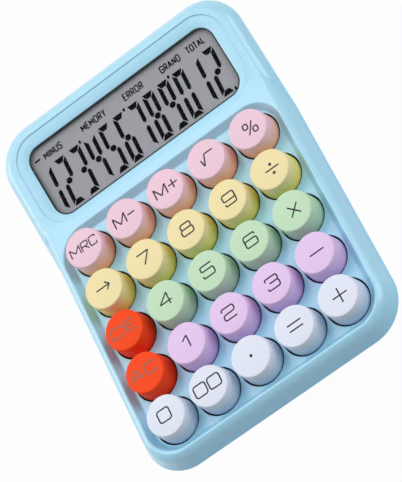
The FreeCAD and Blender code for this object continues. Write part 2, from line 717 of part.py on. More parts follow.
def add_bay(body):
    """Walls of the battery bay, the opening under it and the slide rails of its door."""
    floor_back = "(Layout.back_y - Sizes.hull_inset - Sizes.floor_inset)"
    cover = new_sketch(
        body, "rail_cover_outline", ("0", f"({floor_back} + Layout.door_front) / 2", "Layout.floor_top")
    )
    rectangle(
        cover,
        "Layout.door_width + 2 * Sizes.door_tongue_reach + 2 * Sizes.bay_wall",
        f"{floor_back} - Layout.door_front + 2 * Sizes.bay_wall",
    )
    pad(body, "rail_cover", cover, "Sizes.bay_wall / 2")
    walls = new_sketch(body, "bay_walls", ("0", "Layout.cell_y", "Layout.bay_top"))
    rectangle(
        walls, "Layout.bay_length + 2 * Sizes.bay_wall", "Layout.bay_width + 2 * Sizes.bay_wall"
    )
    rectangle(walls, "Layout.bay_length", "Layout.bay_width")
    pad(body, "bay", walls, "Sizes.bay_height + Sizes.floor_thick / 4", reverse=True)
    opening = new_sketch(body, "bay_opening", ("0", "Layout.cell_y", "Layout.bay_top"))
    rectangle(opening, "Layout.bay_length", "Layout.bay_width")
    pocket(body, "bay_mouth", opening, "Sizes.bay_height + Sizes.floor_thick")
    gap = "2 * Sizes.door_gap"
    run = "(Layout.back_y - Layout.door_front + Sizes.door_gap)"
    centre = f"Layout.back_y - {run} / 2"
    for name, width, height, start in (
        ("door_recess", f"Layout.door_width + {gap}", "Sizes.door_plate", "Sizes.foot_rise"),
        (
            "door_rails",
            f"Layout.door_width + {gap} + 2 * Sizes.door_tongue_reach",
            f"Sizes.door_tongue + {gap}",
            "Layout.door_under - Sizes.door_gap",
        ),
    ):
        sketch = new_sketch(body, f"{name}_outline", ("0", centre, start))
        rectangle(sketch, width, run)
        pocket(body, name, sketch, height, reverse=True)


def make_battery_door():
    """Sliding door with side tongues and finger grooves."""
    centre = "Layout.door_front + Layout.door_length / 2"
    body = new_body("battery_door", ("0", centre, "Sizes.foot_rise"))
    plate = new_sketch(body, "plate_outline")
    rectangle(plate, "Layout.door_width", "Layout.door_length")
    pad(body, "plate", plate, "Sizes.door_plate")
    tongues = new_sketch(body, "tongue_outline", ("0", "0", "Sizes.door_plate"))
    rectangle(tongues, "Layout.door_width + 2 * Sizes.door_tongue_reach", "Layout.door_length")
    pad(body, "tongues", tongues, "Sizes.door_tongue")
    for number in range(-1, 2):
        groove = new_sketch(body, f"grip_{number + 2}", ("0", f"{number} * Sizes.door_grip_pitch", "0"))
        rectangle(groove, "Sizes.door_grip_length", "Sizes.door_grip_width")
        pocket(body, f"grip_groove_{number + 2}", groove, "Sizes.door_grip_depth", reverse=True)
    return body


def display_plate(label, width, height, thick, down, shift="0"):
    """Flat piece of the display stack, its top face at a depth below the crest."""
    along = f"Layout.window_along + ({shift})"
    body = new_body(label, slab(along, f"{down} + {thick}"), tilted=True)
    outline = new_sketch(body, "outline")
    rectangle(outline, width, height)
    pad(body, "plate", outline, thick)
    return body


def make_display():
    """Lens, gaskets, display glass and reflector."""
    display_plate(
        "display_window", "Layout.lens_width", "Layout.lens_height", "Sizes.lens_thick", "Layout.plate_down"
    )
    gasket = new_body("window_gasket", slab("Layout.window_along", "Layout.plate_down"), tilted=True)
    outline = new_sketch(gasket, "outline")
    outer_corner = "Sizes.view_corner + Sizes.gasket_width"
    rounded_rectangle(outline, "Layout.opening_width", "Layout.opening_height", outer_corner)
    rounded_rectangle(outline, "Sizes.view_width", "Sizes.view_height", "Sizes.view_corner")
    pad(gasket, "ring", outline, "Sizes.gasket_rise")
    gasket = new_body("dust_gasket", slab("Layout.window_along", "Layout.glass_down"), tilted=True)
    outline = new_sketch(gasket, "outline")
    rectangle(outline, "Layout.glass_width", "Layout.glass_height")
    border = "2 * Sizes.dust_gasket_width"
    rectangle(outline, f"Layout.glass_width - {border}", f"Layout.glass_height - {border}")
    pad(gasket, "ring", outline, "Sizes.dust_gasket_thick")
    display_plate(
        "lcd_front_glass", "Layout.glass_width", "Layout.glass_height", "Sizes.glass_thick", "Layout.glass_down"
    )
    display_plate(
        "lcd_rear_glass",
        "Layout.glass_width",
        "Layout.glass_height + Sizes.glass_ledge",
        "Sizes.glass_thick",
        "Layout.rear_down",
        "-Sizes.glass_ledge / 2",
    )
    display_plate(
        "lcd_reflector",
        "Layout.glass_width",
        "Layout.glass_height",
        "Sizes.reflector_thick",
        "Layout.reflector_down",
    )


def make_lcd_frame():
    """Tray round the display with wings on the posts and a slot for the ribbon."""
    along = "Layout.window_along + (Layout.tray_back - Layout.tray_front) / 2"
    shift = "(Layout.tray_front - Layout.tray_back) / 2"
    body = new_body("lcd_frame", slab(along, "Layout.frame_down"), tilted=True)
    height = "(Layout.tray_front + Layout.tray_back)"
    wall = "2 * Sizes.frame_wall"
    outline = new_sketch(body, "outline")
    rectangle(outline, f"Layout.tray_width + {wall}", f"{height} + {wall}")
    pad(body, "block", outline, "Layout.frame_down - Layout.plate_down")
    tray = new_sketch(body, "tray_outline", ("0", "0", "Sizes.frame_floor"))
    rectangle(tray, "Layout.tray_width", height)
    pocket(body, "tray", tray, "Layout.frame_down", reverse=True)
    wings = new_sketch(body, "wing_outline", ("0", shift, "0"))
    rectangle(
        wings,
        "2 * Layout.frame_post_x + Sizes.frame_post",
        "2 * Layout.frame_post_y + Sizes.frame_post",
    )
    pad(body, "wings", wings, "Sizes.frame_floor")
    bores = new_sketch(body, "wing_bores", ("0", shift, "0"))
    squares(bores, "Sizes.frame_peg + 2 * Sizes.frame_peg_gap", frame_post_places())
    pocket(body, "wing_holes", bores, "Sizes.frame_floor", reverse=True)
    slot_floor = "Layout.frame_down - Layout.rear_down - Sizes.frame_gap"
    slot = new_sketch(body, "ribbon_slot_outline", ("0", f"-{height} / 2", slot_floor))
    rectangle(slot, "Layout.ribbon_width + 4 * Sizes.frame_gap", f"2 * {wall}")
    pocket(body, "ribbon_slot", slot, "Layout.frame_down", reverse=True)
    return body


def make_screws():
    """Case screws from below, as one group of solids."""
    seat = "Sizes.foot_rise + Sizes.head_recess"
    body = new_body("case_screws", ("0", "Layout.grid_y", f"{seat} - Sizes.case_screw_head_thick"))
    places = grid_places(SQUARE, "Layout.post_spread")
    heads = new_sketch(body, "head_outline")
    circles(heads, "Sizes.case_screw_head", places)
    pad(body, "heads", heads, "Sizes.case_screw_head_thick")
    shanks = new_sketch(body, "shank_outline", ("0", "0", "Sizes.case_screw_head_thick"))
    circles(shanks, "Sizes.case_screw", places)
    pad(body, "shanks", shanks, f"Layout.board_top - ({seat}) + Sizes.case_screw_bite")
    return body


def make_feet():
    """Four rubber feet stuck to the floor."""
    body = new_body("rubber_feet")
    outline = new_sketch(body, "foot_outline")
    circles(outline, "Sizes.foot_diameter", foot_places())
    pad(body, "feet", outline, "Sizes.foot_rise")
    return body


def make_board():
    """Circuit board with cut-outs for the bosses, the potted chip under it and a capacitor on it."""
    body = new_body("main_board", ("0", "Layout.board_y", "Layout.board_under"))
    outline = new_sketch(body, "outline")
    rounded_rectangle(outline, "Layout.board_width", "Layout.board_length", "Sizes.board_corner")
    pad(body, "board", outline, "Sizes.board_thick")
    cut_boss_holes(body, "Layout.grid_y - Layout.board_y", "Sizes.board_thick")
    chip_base = "Layout.board_under - Sizes.chip_rise"
    chip = new_body("controller_chip", ("Sizes.chip_offset", "Layout.strip_y", chip_base))
    add_drum(chip, "Sizes.chip_diameter", "Sizes.chip_rise")
    can = new_body("board_capacitor", ("-Layout.post_spread", "Layout.strip_y", "Layout.board_top"))
    add_drum(can, "Sizes.capacitor_diameter", "Sizes.capacitor_rise")


def cut_boss_holes(body, centre_y, depth):
    """Square cut-outs that clear the four screw bosses."""
    holes = new_sketch(body, "boss_hole_places", ("0", centre_y, "0"))
    squares(holes, "Sizes.post_side + 2 * Sizes.post_gap", grid_places(SQUARE, "Layout.post_spread"))
    pocket(body, "boss_holes", holes, depth, reverse=True)


def add_drum(body, diameter, height):
    """Plain upright cylinder on the body's origin."""
    outline = new_sketch(body, "outline")
    circles(outline, diameter, [("0", "0")])
    pad(body, "drum", outline, height)


def make_mat():
    """Silicone mat with a tapered dome under every key and clearance round the bosses."""
    body = new_body("keypad_mat", ("0", "Layout.grid_y", "Layout.board_top"))
    side = "Layout.board_width - 2 * Sizes.mat_inset"
    outline = new_sketch(body, "outline")
    rectangle(outline, side, side)
    pad(body, "sheet", outline, "Sizes.mat_thick")
    cut_boss_holes(body, "0", "Sizes.mat_thick")
    domes = new_sketch(body, "dome_places", ("0", "0", "Sizes.mat_thick"))
    squares(domes, "Sizes.dome_base", grid_places(KEY_STEPS, "Sizes.key_pitch"))
    cone = pad(body, "domes", domes, "Layout.dome_rise")
    cone.setExpression(
        "TaperAngle", "-atan((Sizes.dome_base - Sizes.dome_top) / 2 / Layout.dome_rise)"
    )
    return body


def make_ribbon():
    """Flat ribbon from the ledge of the rear glass, over the tray wall and down to the board."""
    thick = value("Sizes.ribbon_thick")
    bend = value("Sizes.ribbon_bend")
    tilt = math.radians(value("Sizes.tilt"))
    ledge = value("Layout.glass_height / 2 - Layout.window_along")
    start = FreeCAD.Vector(*[value(item) for item in slab(f"-{ledge}", f"Layout.rear_down - {thick} / 2")])
    forward = FreeCAD.Vector(0, -math.cos(tilt), -math.sin(tilt))
    over = start + forward * value("Sizes.glass_ledge + Sizes.frame_gap + Sizes.frame_wall + Sizes.frame_gap")
    half_turn = (math.pi / 2 - tilt) / 2
    knee = over + forward * bend * math.tan(half_turn)
    landing_z = value("Layout.board_top") + thick / 2
    heel = FreeCAD.Vector(0, knee.y, landing_z)
    toe = FreeCAD.Vector(0, knee.y - bend - value("Sizes.ribbon_landing"), landing_z)
    path = rounded_path([start, knee, heel, toe], [bend, bend])
    across = FreeCAD.Vector(value("Layout.ribbon_width") / 2, 0, 0)
    side = forward.cross(FreeCAD.Vector(1, 0, 0)) * (thick / 2)
    section = Part.makePolygon(
        [start - across - side, start + across - side, start + across + side, start - across + side,
         start - across - side]
    )
    return swept("display_ribbon", path, section)


def rounded_path(points, radii):
    """Straight runs through points, with a tangent arc of its own radius at each inner point."""
    edges = []
    last = points[0]
    for before, point, after, radius in zip(points, points[1:], points[2:], radii):
        inward = (before - point).normalize()
        outward = (after - point).normalize()
        half_angle = inward.getAngle(outward) / 2
        trim = radius / math.tan(half_angle)
        middle = (inward + outward).normalize()
        arc_middle = point + middle * (radius / math.sin(half_angle) - radius)
        edges.append(Part.makeLine(last, point + inward * trim))
        edges.append(Part.Arc(point + inward * trim, arc_middle, point + outward * trim).toShape())
        last = point + outward * trim
    edges.append(Part.makeLine(last, points[-1]))
    return Part.Wire(edges)


def swept(label, path, section):
    """Solid of a section carried along a path."""
    item = doc.addObject("Part::Feature", label)
    item.Label = label
    item.Shape = path.makePipeShell([Part.Wire(section)], True, False)
    pieces.append(item)
    return item


def make_battery():
    """Round cell that lies across the case, and the two contacts at its ends."""
    cell = new_body("battery_cell")
    bind_cell(cell, "-Layout.bay_length / 2 + Sizes.contact_thick + Sizes.contact_spring + Sizes.cell_gap")
    radius = "Sizes.cell_diameter / 2"
    nub = "Sizes.cell_nub / 2"
    revolve(
        cell,
        "cell",
        (
            ("0", "0"),
            (radius, "0"),
            (radius, "Sizes.cell_length"),
            (nub, "Sizes.cell_length"),
            (nub, "Sizes.cell_length + Sizes.cell_nub_rise"),
            ("0", "Sizes.cell_length + Sizes.cell_nub_rise"),
        ),
    )
    plate_size = ("Sizes.contact_width", "Sizes.contact_width")
    positive = new_body("positive_contact")
    bind_cell(positive, "Layout.bay_length / 2 - Sizes.contact_thick - Sizes.contact_dimple_rise")
    plate = new_sketch(positive, "plate_outline", ("0", "0", "Sizes.contact_dimple_rise"))
    rectangle(plate, *plate_size)
    pad(positive, "plate", plate, "Sizes.contact_thick")
    dimple = new_sketch(positive, "dimple_outline")
    circles(dimple, "Sizes.contact_dimple", [("0", "0")])
    pad(positive, "dimple", dimple, "Sizes.contact_dimple_rise")
    negative = new_body("negative_contact")
    bind_cell(negative, "-Layout.bay_length / 2")
    plate = new_sketch(negative, "plate_outline")
    rectangle(plate, *plate_size)
    pad(negative, "plate", plate, "Sizes.contact_thick")
    leaf = new_sketch(
        negative, "leaf_section", ("0", "0", "-Sizes.contact_width / 4"), role="YZ_Plane"
    )
    low = "Sizes.contact_width / 2"
    spring = "Sizes.contact_spring"
    thick = "Sizes.contact_thick"
    polygon(
        leaf,
        (
            (f"-{low}", "0"),
            ("0", f"{spring}"),
            (f"{low} - {thick}", f"{thick} + {spring} / 4"),
            (f"{low}", f"{thick} + {spring} / 4"),
            ("0", f"{spring} + {thick}"),
            (f"-{low}", f"2 * {thick}"),
        ),
    )
    pad(negative, "leaf", leaf, "Sizes.contact_width / 2")


def bind_cell(body, x):
    """Lay a body on its side along the axis of the cell, its own Z towards +X."""
    body.Placement = FreeCAD.Placement(
        FreeCAD.Vector(), FreeCAD.Rotation(FreeCAD.Vector(0, 1, 0), 90)
    )
    for axis, expression in zip("xyz", (x, "Layout.cell_y", "Layout.cell_z")):
        body.setExpression(f"Placement.Base.{axis}", expression)


def make_leads():
    """Two taut wires from the contacts over the bay wall to the back strip of the board."""
    radius = "Sizes.lead_diameter / 2"
    drop = "(Layout.cell_z + Sizes.contact_width / 2 - Layout.board_top - Sizes.lead_diameter)"
    end_y = "(Layout.board_y + Layout.board_length / 2 - Sizes.lead_diameter)"
    reach = f"(Layout.cell_y - Sizes.contact_width / 2 + Sizes.lead_diameter - {end_y})"
    for label, x in (("battery_lead_positive", "Layout.lead_x"), ("battery_lead_negative", "-Layout.lead_x")):
        body = new_body(label)
        lean = FreeCAD.Rotation(FreeCAD.Vector(-1, 0, 0), value(f"atan({reach} / {drop})"))
        body.Placement = FreeCAD.Placement(FreeCAD.Vector(), lean)
        body.setExpression("Placement.Rotation.Angle", f"atan({reach} / {drop})")
        for axis, place in zip("xyz", (x, end_y, f"Layout.board_top + {radius}")):
            body.setExpression(f"Placement.Base.{axis}", place)
        add_drum(body, "Sizes.lead_diameter", f"sqrt({reach}^2 + {drop}^2)")


def make_key_form():
    """Master of the key: tapered cap, retaining flange, hollow underside and plunger."""
    form = doc.addObject("PartDesign::Body", "key_form")
    flange_top = "(Layout.deck_under - Sizes.key_gap - Layout.key_foot)"
    flange_under = f"({flange_top} - Sizes.key_flange_thick)"
    top = "(Layout.deck_top + Sizes.key_rise - Layout.key_foot)"
    roof = f"({top} - Sizes.key_roof)"
    barrel = "Sizes.key_base / 2"
    crown = "Sizes.key_top / 2"
    section = (
        ("0", flange_top),
        (barrel, flange_top),
        (crown, f"{top} - Sizes.key_edge"),
        (f"{crown} - Sizes.key_edge", top),
        ("0", top),
    )
    revolve(form, "cap", section)
    flange = new_sketch(form, "flange_outline", ("0", "0", flange_under))
    octagon(flange, "Sizes.key_flange")
    pad(form, "flange", flange, "Sizes.key_flange_thick")
    hollow = new_sketch(form, "hollow_outline", ("0", "0", flange_under))
    octagon(hollow, "(Sizes.key_top - 2 * Sizes.key_wall) * cos(22.5)")
    pocket(form, "hollow", hollow, f"{roof} - {flange_under}", reverse=True)
    plunger = new_sketch(form, "plunger_outline")
    rectangle(plunger, "Sizes.key_plunger", "Sizes.key_plunger")
    pad(form, "plunger", plunger, roof)
    return form


def make_keys():
    """One copy of the key for every place of the grid."""
    form = make_key_form()
    for row, names in enumerate(KEY_ROWS):
        for column, name in enumerate(names):
            place = (
                f"{column - 2} * Sizes.key_pitch",
                f"Layout.grid_y + {2 - row} * Sizes.key_pitch",
                "Layout.key_foot",
            )
            new_body(f"key_{name}", place).BaseFeature = form


def write_pieces():
    """Check every object of the document, then write one file per sub-part."""
    doc.recompute()
    for item in doc.Objects:
        if "Invalid" in item.State or "Error" in item.State:
            raise ValueError(f"{item.Label} failed: {item.State}")
    for piece in pieces:
        if piece.Shape.isNull() or not piece.Shape.isValid():
            raise ValueError(f"{piece.Label} has no valid shape")
    os.makedirs("parts", exist_ok=True)
    for piece in pieces:
        piece.Shape.exportStep(f"parts/{piece.Label}.step")
        print(piece.Label, len(piece.Shape.Solids), round(piece.Shape.Volume, 1))


make_top_case()
make_bottom_case()
make_battery_door()
make_display()
make_lcd_frame()
make_screws()
make_feet()
make_board()
make_mat()
make_ribbon()
make_battery()
make_leads()
make_keys()
write_pieces()
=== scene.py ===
"""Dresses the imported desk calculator: shells, keys, legends, display, mat, finishes and studio."""

import logging
import math
from collections.abc import Callable, Iterable
from dataclasses import dataclass, field, replace
from enum import Enum
from functools import cache

import bpy
from mathutils import Matrix, Vector


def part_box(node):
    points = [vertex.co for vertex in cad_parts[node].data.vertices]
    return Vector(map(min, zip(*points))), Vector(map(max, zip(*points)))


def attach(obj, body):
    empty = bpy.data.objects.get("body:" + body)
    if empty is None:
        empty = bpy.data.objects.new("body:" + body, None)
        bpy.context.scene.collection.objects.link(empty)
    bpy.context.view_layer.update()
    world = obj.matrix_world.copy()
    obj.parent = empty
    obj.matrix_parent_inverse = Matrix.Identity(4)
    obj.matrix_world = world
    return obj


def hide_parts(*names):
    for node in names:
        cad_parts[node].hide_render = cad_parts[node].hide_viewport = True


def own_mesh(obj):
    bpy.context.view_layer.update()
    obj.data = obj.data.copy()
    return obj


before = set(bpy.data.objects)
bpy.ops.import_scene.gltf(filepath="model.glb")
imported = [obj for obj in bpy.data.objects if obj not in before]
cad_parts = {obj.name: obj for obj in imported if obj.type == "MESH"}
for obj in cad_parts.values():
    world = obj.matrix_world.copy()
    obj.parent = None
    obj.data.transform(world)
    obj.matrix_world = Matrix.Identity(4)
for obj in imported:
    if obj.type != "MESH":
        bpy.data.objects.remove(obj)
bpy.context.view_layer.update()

log = logging.getLogger("calculator")

MM = 0.001
# Scale of the slow drift of tone, and detail of the drift and the grain
DRIFT_SCALE = 35.0
NOISE_DETAIL = 2.0
# Edges of round pieces that turn by more than this many degrees stay sharp
ROUND_BEND = 40.0
# A face is level where its normal has more than this share of Z
LEVEL = 0.9
# Share of the shorter leg that a rounded corner may take, and degrees of each step of its arc
CORNER_REACH = 0.45
ARC_STEP = 15.0
Color = tuple[float, float, float]
Point = tuple[float, float]


def srgb(red: int, green: int, blue: int) -> Color:
    """Turn display values into linear colour.

    Args:
        red: Red from 0 to 255.
        green: Green from 0 to 255.
        blue: Blue from 0 to 255.

    Returns:
        The colour as three linear values.
    """

    def linear(level: int) -> float:
        """Turn one display value into its linear value."""
        share = level / 255
        return share / 12.92 if share <= 0.04045 else ((share + 0.055) / 1.055) ** 2.4

    return linear(red), linear(green), linear(blue)


class Shader:
    """A new material with its Principled shader and short ways to add nodes."""

    def __init__(self, name: str) -> None:
        """Start the material.

        Args:
            name: Name of the material.
        """
        self.material = bpy.data.materials.new(name)
        self.material.use_nodes = True
        self.tree = self.material.node_tree
        self.surface = self.tree.nodes["Principled BSDF"]

    def add(self, kind: str, **values: object) -> bpy.types.Node:
        """Add a node.

        Args:
            kind: Blender's name of the node type.
            **values: Properties of the node to set.

        Returns:
            The new node.
        """
        node = self.tree.nodes.new(kind)
        for key, item in values.items():
            setattr(node, key, item)
        return node

    def join(self, source: bpy.types.NodeSocket, target: bpy.types.NodeSocket) -> None:
        """Link an output to an input."""
        self.tree.links.new(source, target)

    def group(self, tree: bpy.types.NodeTree) -> bpy.types.Node:
        """Add a node that shows a node group.

        Args:
            tree: The group.

        Returns:
            The new node.
        """
        node = self.add("ShaderNodeGroup")
        node.node_tree = tree
        return node

    def place(self) -> bpy.types.NodeSocket:
        """Give the output with the place of the shaded point in the part's own frame."""
        return self.add("ShaderNodeTexCoord").outputs["Object"]

    def rise(self, axis: str, low: float, high: float) -> bpy.types.NodeSocket:
        """Give a share that grows smoothly from 0 to 1 along an axis.

        Args:
            axis: X, Y or Z.
            low: Where the share leaves 0, in metres.
            high: Where it reaches 1, in metres.

        Returns:
            The share.
        """
        split = self.add("ShaderNodeSeparateXYZ")
        self.join(self.place(), split.inputs["Vector"])
        share = self.add("ShaderNodeMapRange", interpolation_type="SMOOTHSTEP")
        share.inputs["From Min"].default_value = low
        share.inputs["From Max"].default_value = high
        self.join(split.outputs[axis], share.inputs["Value"])
        return share.outputs["Result"]

    def blend(
        self, share: bpy.types.NodeSocket, first: Color, last: Color | bpy.types.NodeSocket
    ) -> bpy.types.NodeSocket:
        """Blend two colours.

        Args:
            share: Share of the last colour.
            first: The colour at share 0.
            last: The colour at share 1, fixed or from another node.

        Returns:
            The blended colour.
        """
        mix = self.add("ShaderNodeMix", data_type="RGBA")
        color_a, color_b = [item for item in mix.inputs if item.type == "RGBA"]
        color_a.default_value = (*first, 1)
        if isinstance(last, bpy.types.NodeSocket):
            self.join(last, color_b)
        else:
            color_b.default_value = (*last, 1)
        self.join(share, mix.inputs[0])
        return next(item for item in mix.outputs if item.type == "RGBA")

    def set(self, **values: object) -> None:
        """Set plain values on the Principled shader, by socket names with underscores for spaces."""
        for key, item in values.items():
            self.surface.inputs[key.replace("_", " ")].default_value = item


def new_group(name: str, inputs: dict[str, str], outputs: dict[str, str]) -> bpy.types.NodeTree:
    """Start a shader node group with sockets.

    Args:
        name: Name of the group.
        inputs: Socket names and their types.
        outputs: Socket names and their types.

    Returns:
        The group with its input and output nodes, named enter and leave.
    """
    tree = bpy.data.node_groups.new(name, "ShaderNodeTree")
    for direction, sockets in (("INPUT", inputs), ("OUTPUT", outputs)):
        for label, kind in sockets.items():
            tree.interface.new_socket(label, in_out=direction, socket_type=kind)
    tree.nodes.new("NodeGroupInput").name = "enter"
    tree.nodes.new("NodeGroupOutput").name = "leave"
    return tree


def moulded_group() -> bpy.types.NodeTree:
    """Give the group of moulded plastic: a slow drift of tone and a fine spark grain.

    Returns:
        The group, made on the first call.
    """
    name = "moulded_grain"
    if name in bpy.data.node_groups:
        return bpy.data.node_groups[name]
    color = "NodeSocketColor"
    number = "NodeSocketFloat"
    tree = new_group(
        name,
        {"Place": "NodeSocketVector", "Color": color, "Drift": number, "Grain Size": number},
        {"Color": color, "Height": number},
    )
    enter = tree.nodes["enter"].outputs
    leave = tree.nodes["leave"].inputs
    slow = tree.nodes.new("ShaderNodeTexNoise")
    slow.inputs["Scale"].default_value = DRIFT_SCALE
    slow.inputs["Detail"].default_value = NOISE_DETAIL
    level = tree.nodes.new("ShaderNodeMapRange")
    level.inputs["To Min"].default_value = -1
    tone = tree.nodes.new("ShaderNodeMath")
    tone.operation = "MULTIPLY_ADD"
    tone.inputs[2].default_value = 1
    shade = tree.nodes.new("ShaderNodeHueSaturation")
    fine = tree.nodes.new("ShaderNodeTexNoise")
    fine.inputs["Detail"].default_value = NOISE_DETAIL
    for source, target in (
        (enter["Place"], slow.inputs["Vector"]),
        (enter["Place"], fine.inputs["Vector"]),
        (enter["Grain Size"], fine.inputs["Scale"]),
        (slow.outputs["Fac"], level.inputs["Value"]),
        (level.outputs["Result"], tone.inputs[0]),
        (enter["Drift"], tone.inputs[1]),
        (tone.outputs["Value"], shade.inputs["Value"]),
        (enter["Color"], shade.inputs["Color"]),
        (shade.outputs["Color"], leave["Color"]),
        (fine.outputs["Fac"], leave["Height"]),
    ):
        tree.links.new(source, target)
    return tree


@dataclass(frozen=True)
class Plastic:
    """Moulded plastic, rubber or printed ink with a fine grain.

    Attributes:
        name: Name of the material.
        color: Linear colour.
        roughness: Roughness of the surface.
        drift: How far the tone wanders.
        grain_size: Scale of the fine grain, larger is finer.
        grain_depth: Height of the grain in metres.
        coat: Weight of a clear glossy coat.
        coat_roughness: Roughness of that coat.
        metallic: Share of metal.
        alpha: Opacity.
        specular: Strength of its own reflection, 0.5 for plastic in air.
    """

    name: str
    color: Color
    roughness: float = 0.45
    drift: float = 0.03
    grain_size: float = 2500
    grain_depth: float = 0.01 * MM
    coat: float = 0.0
    coat_roughness: float = 0.2
    metallic: float = 0.0
    alpha: float = 1.0
    specular: float = 0.5

    def paint(self, shader: Shader) -> bpy.types.NodeSocket | None:
        """Give the output that the colour comes from, or None for the plain colour."""
        return None

    def material(self) -> bpy.types.Material:
        """Give the material of this finish.

        Returns:
            The material, made on the first call.
        """
        name = f"{self.name}_finish"
        if name in bpy.data.materials:
            return bpy.data.materials[name]
        shader = Shader(name)
        grain = shader.group(moulded_group())
        grain.inputs["Color"].default_value = (*self.color, 1)
        grain.inputs["Drift"].default_value = self.drift
        grain.inputs["Grain Size"].default_value = self.grain_size
        shader.join(shader.place(), grain.inputs["Place"])
        painted = self.paint(shader)
        if painted is not None:
            shader.join(painted, grain.inputs["Color"])
        bump = shader.add("ShaderNodeBump")
        bump.inputs["Strength"].default_value = 1
        bump.inputs["Distance"].default_value = self.grain_depth
        shader.join(grain.outputs["Height"], bump.inputs["Height"])
        shader.join(grain.outputs["Color"], shader.surface.inputs["Base Color"])
        shader.join(bump.outputs["Normal"], shader.surface.inputs["Normal"])
        shader.set(Roughness=self.roughness, Metallic=self.metallic, Alpha=self.alpha)
        shader.set(Coat_Weight=self.coat, Coat_Roughness=self.coat_roughness)
        shader.set(Specular_IOR_Level=self.specular)
        return shader.material


@dataclass(frozen=True)
class RisingPlastic(Plastic):
    """Plastic whose colour changes from a foot to a crown along one axis of the part's frame.

    Attributes:
        foot_color: Linear colour at the foot.
        foot: Height of the foot in metres.
        crown: Height of the crown in metres.
        axis: X, Y or Z.
    """

    foot_color: Color = (0, 0, 0)
    foot: float = 0.0
    crown: float = 1.0
    axis: str = "Z"

    def paint(self, shader: Shader) -> bpy.types.NodeSocket:
        """Blend the two colours along the axis."""
        share = shader.rise(self.axis, self.foot, self.crown)
        return shader.blend(share, self.foot_color, self.color)


@dataclass(frozen=True)
class GapShadowPlastic(RisingPlastic):
    """Rising plastic with painted shadow below its foot: a dark band where a key's side sinks into the
    shaded gap of its hole.

    Attributes:
        gap_shadow_color: Linear colour below the foot.
        drop: How far below the foot the painted shadow begins, in metres.
        turn: Height in metres over which it gives way to the foot.
    """

    gap_shadow_color: Color = (0, 0, 0)
    drop: float = 0.7 * MM
    turn: float = 0.1 * MM

    def paint(self, shader: Shader) -> bpy.types.NodeSocket:
        """Blend the colours and lay the painted shadow under them.

        Args:
            shader: The material in work.

        Returns:
            The blended colour.
        """
        upper = super().paint(shader)
        start = self.foot - self.drop
        share = shader.rise(self.axis, start - self.turn, start)
        return shader.blend(share, self.gap_shadow_color, upper)


@dataclass(frozen=True)
class BandedPlastic(Plastic):
    """Plastic with fine stripes of a second colour along one axis.

    Attributes:
        band_color: Linear colour of the stripes.
        band_scale: Stripes per metre, as the wave texture counts them.
        band_end: Level of the wave up to which a stripe is full.
        plain_from: Level of the wave from which the plain colour is full.
        axis: Axis that the stripes follow each other along.
    """

    band_color: Color = (0, 0, 0)
    band_scale: float = 100.0
    band_end: float = 0.4
    plain_from: float = 0.6
    axis: str = "X"

    def paint(self, shader: Shader) -> bpy.types.NodeSocket:
        """Lay the stripes.

        Args:
            shader: The material in work.

        Returns:
            The striped colour.
        """
        wave = shader.add("ShaderNodeTexWave", wave_type="BANDS", bands_direction=self.axis)
        wave.inputs["Scale"].default_value = self.band_scale
        shader.join(shader.place(), wave.inputs["Vector"])
        ramp = shader.add("ShaderNodeValToRGB")
        band, plain = ramp.color_ramp.elements
        band.position = self.band_end
        band.color = (*self.band_color, 1)
        plain.position = self.plain_from
        plain.color = (*self.color, 1)
        shader.join(wave.outputs["Fac"], ramp.inputs["Fac"])
        return ramp.outputs["Color"]


class Finish(Enum):
    """The finishes of the calculator."""

    # The foot colour is painted shade: the shells turn bluer and more saturated from the rim height down
    # to the floor, standing in for the shade on their lower sides.
    CASE = RisingPlastic(
        "case_blue", srgb(158, 210, 232), 0.36, drift=0.015, coat=0.6,
        foot_color=srgb(118, 200, 244), foot=0.0, crown=18.3 * MM,
    )
    INK = Plastic("legend_ink", srgb(58, 58, 64), 0.6, specular=0.1)
    FADED_INK = Plastic("legend_faded", srgb(160, 84, 62), 0.6)
    SEGMENT = Plastic("display_segment", srgb(16, 17, 19), 0.7, specular=0.0)
    FLAG = Plastic("display_flag", srgb(14, 15, 17), 0.7, specular=0.0)
    LCD = Plastic("display_glass", srgb(156, 157, 162), 0.5, drift=0.01)
    LENS = Plastic("clear_lens", srgb(40, 44, 48), 0.06, grain_depth=0.0, alpha=0.04, specular=0.15)
    FOAM = Plastic("black_foam", srgb(22, 30, 36), 0.8, grain_size=900, grain_depth=0.1 * MM)
    REFLECTOR = Plastic("display_grey", srgb(150, 152, 150), 0.5, metallic=0.3)
    TRAY = Plastic("tray_white", srgb(225, 226, 224), 0.5)
    STEEL = Plastic("steel", srgb(178, 180, 184), 0.3, metallic=1.0)
    FOOT = Plastic("foot_rubber", srgb(46, 48, 52), 0.85, grain_size=1200, grain_depth=0.06 * MM)
    BOARD = BandedPlastic(
        "board_green", srgb(18, 92, 50), 0.4, band_color=srgb(28, 112, 64), band_scale=160
    )
    CHIP = Plastic("chip_black", srgb(18, 18, 20), 0.35)
    CAN = RisingPlastic(
        "can_aluminium", srgb(196, 198, 202), 0.3, metallic=0.8, foot_color=srgb(20, 24, 40),
        foot=10.5 * MM, crown=10.8 * MM,
    )
    MAT = Plastic("silicone", srgb(198, 202, 204), 0.7)
    RIBBON = BandedPlastic(
        "ribbon_amber", srgb(196, 128, 52), 0.4, band_color=srgb(150, 88, 36), band_scale=300
    )
    CELL = RisingPlastic(
        "cell_wrap", srgb(196, 142, 64), 0.3, metallic=0.4, foot_color=srgb(24, 24, 28),
        foot=9.8 * MM, crown=10.2 * MM, axis="X",
    )
    CONTACT = Plastic("contact_plate", srgb(205, 204, 196), 0.28, metallic=1.0)
    LEAD_RED = Plastic("lead_red", srgb(186, 32, 30), 0.45)
    LEAD_BLACK = Plastic("lead_black", srgb(22, 22, 24), 0.45)


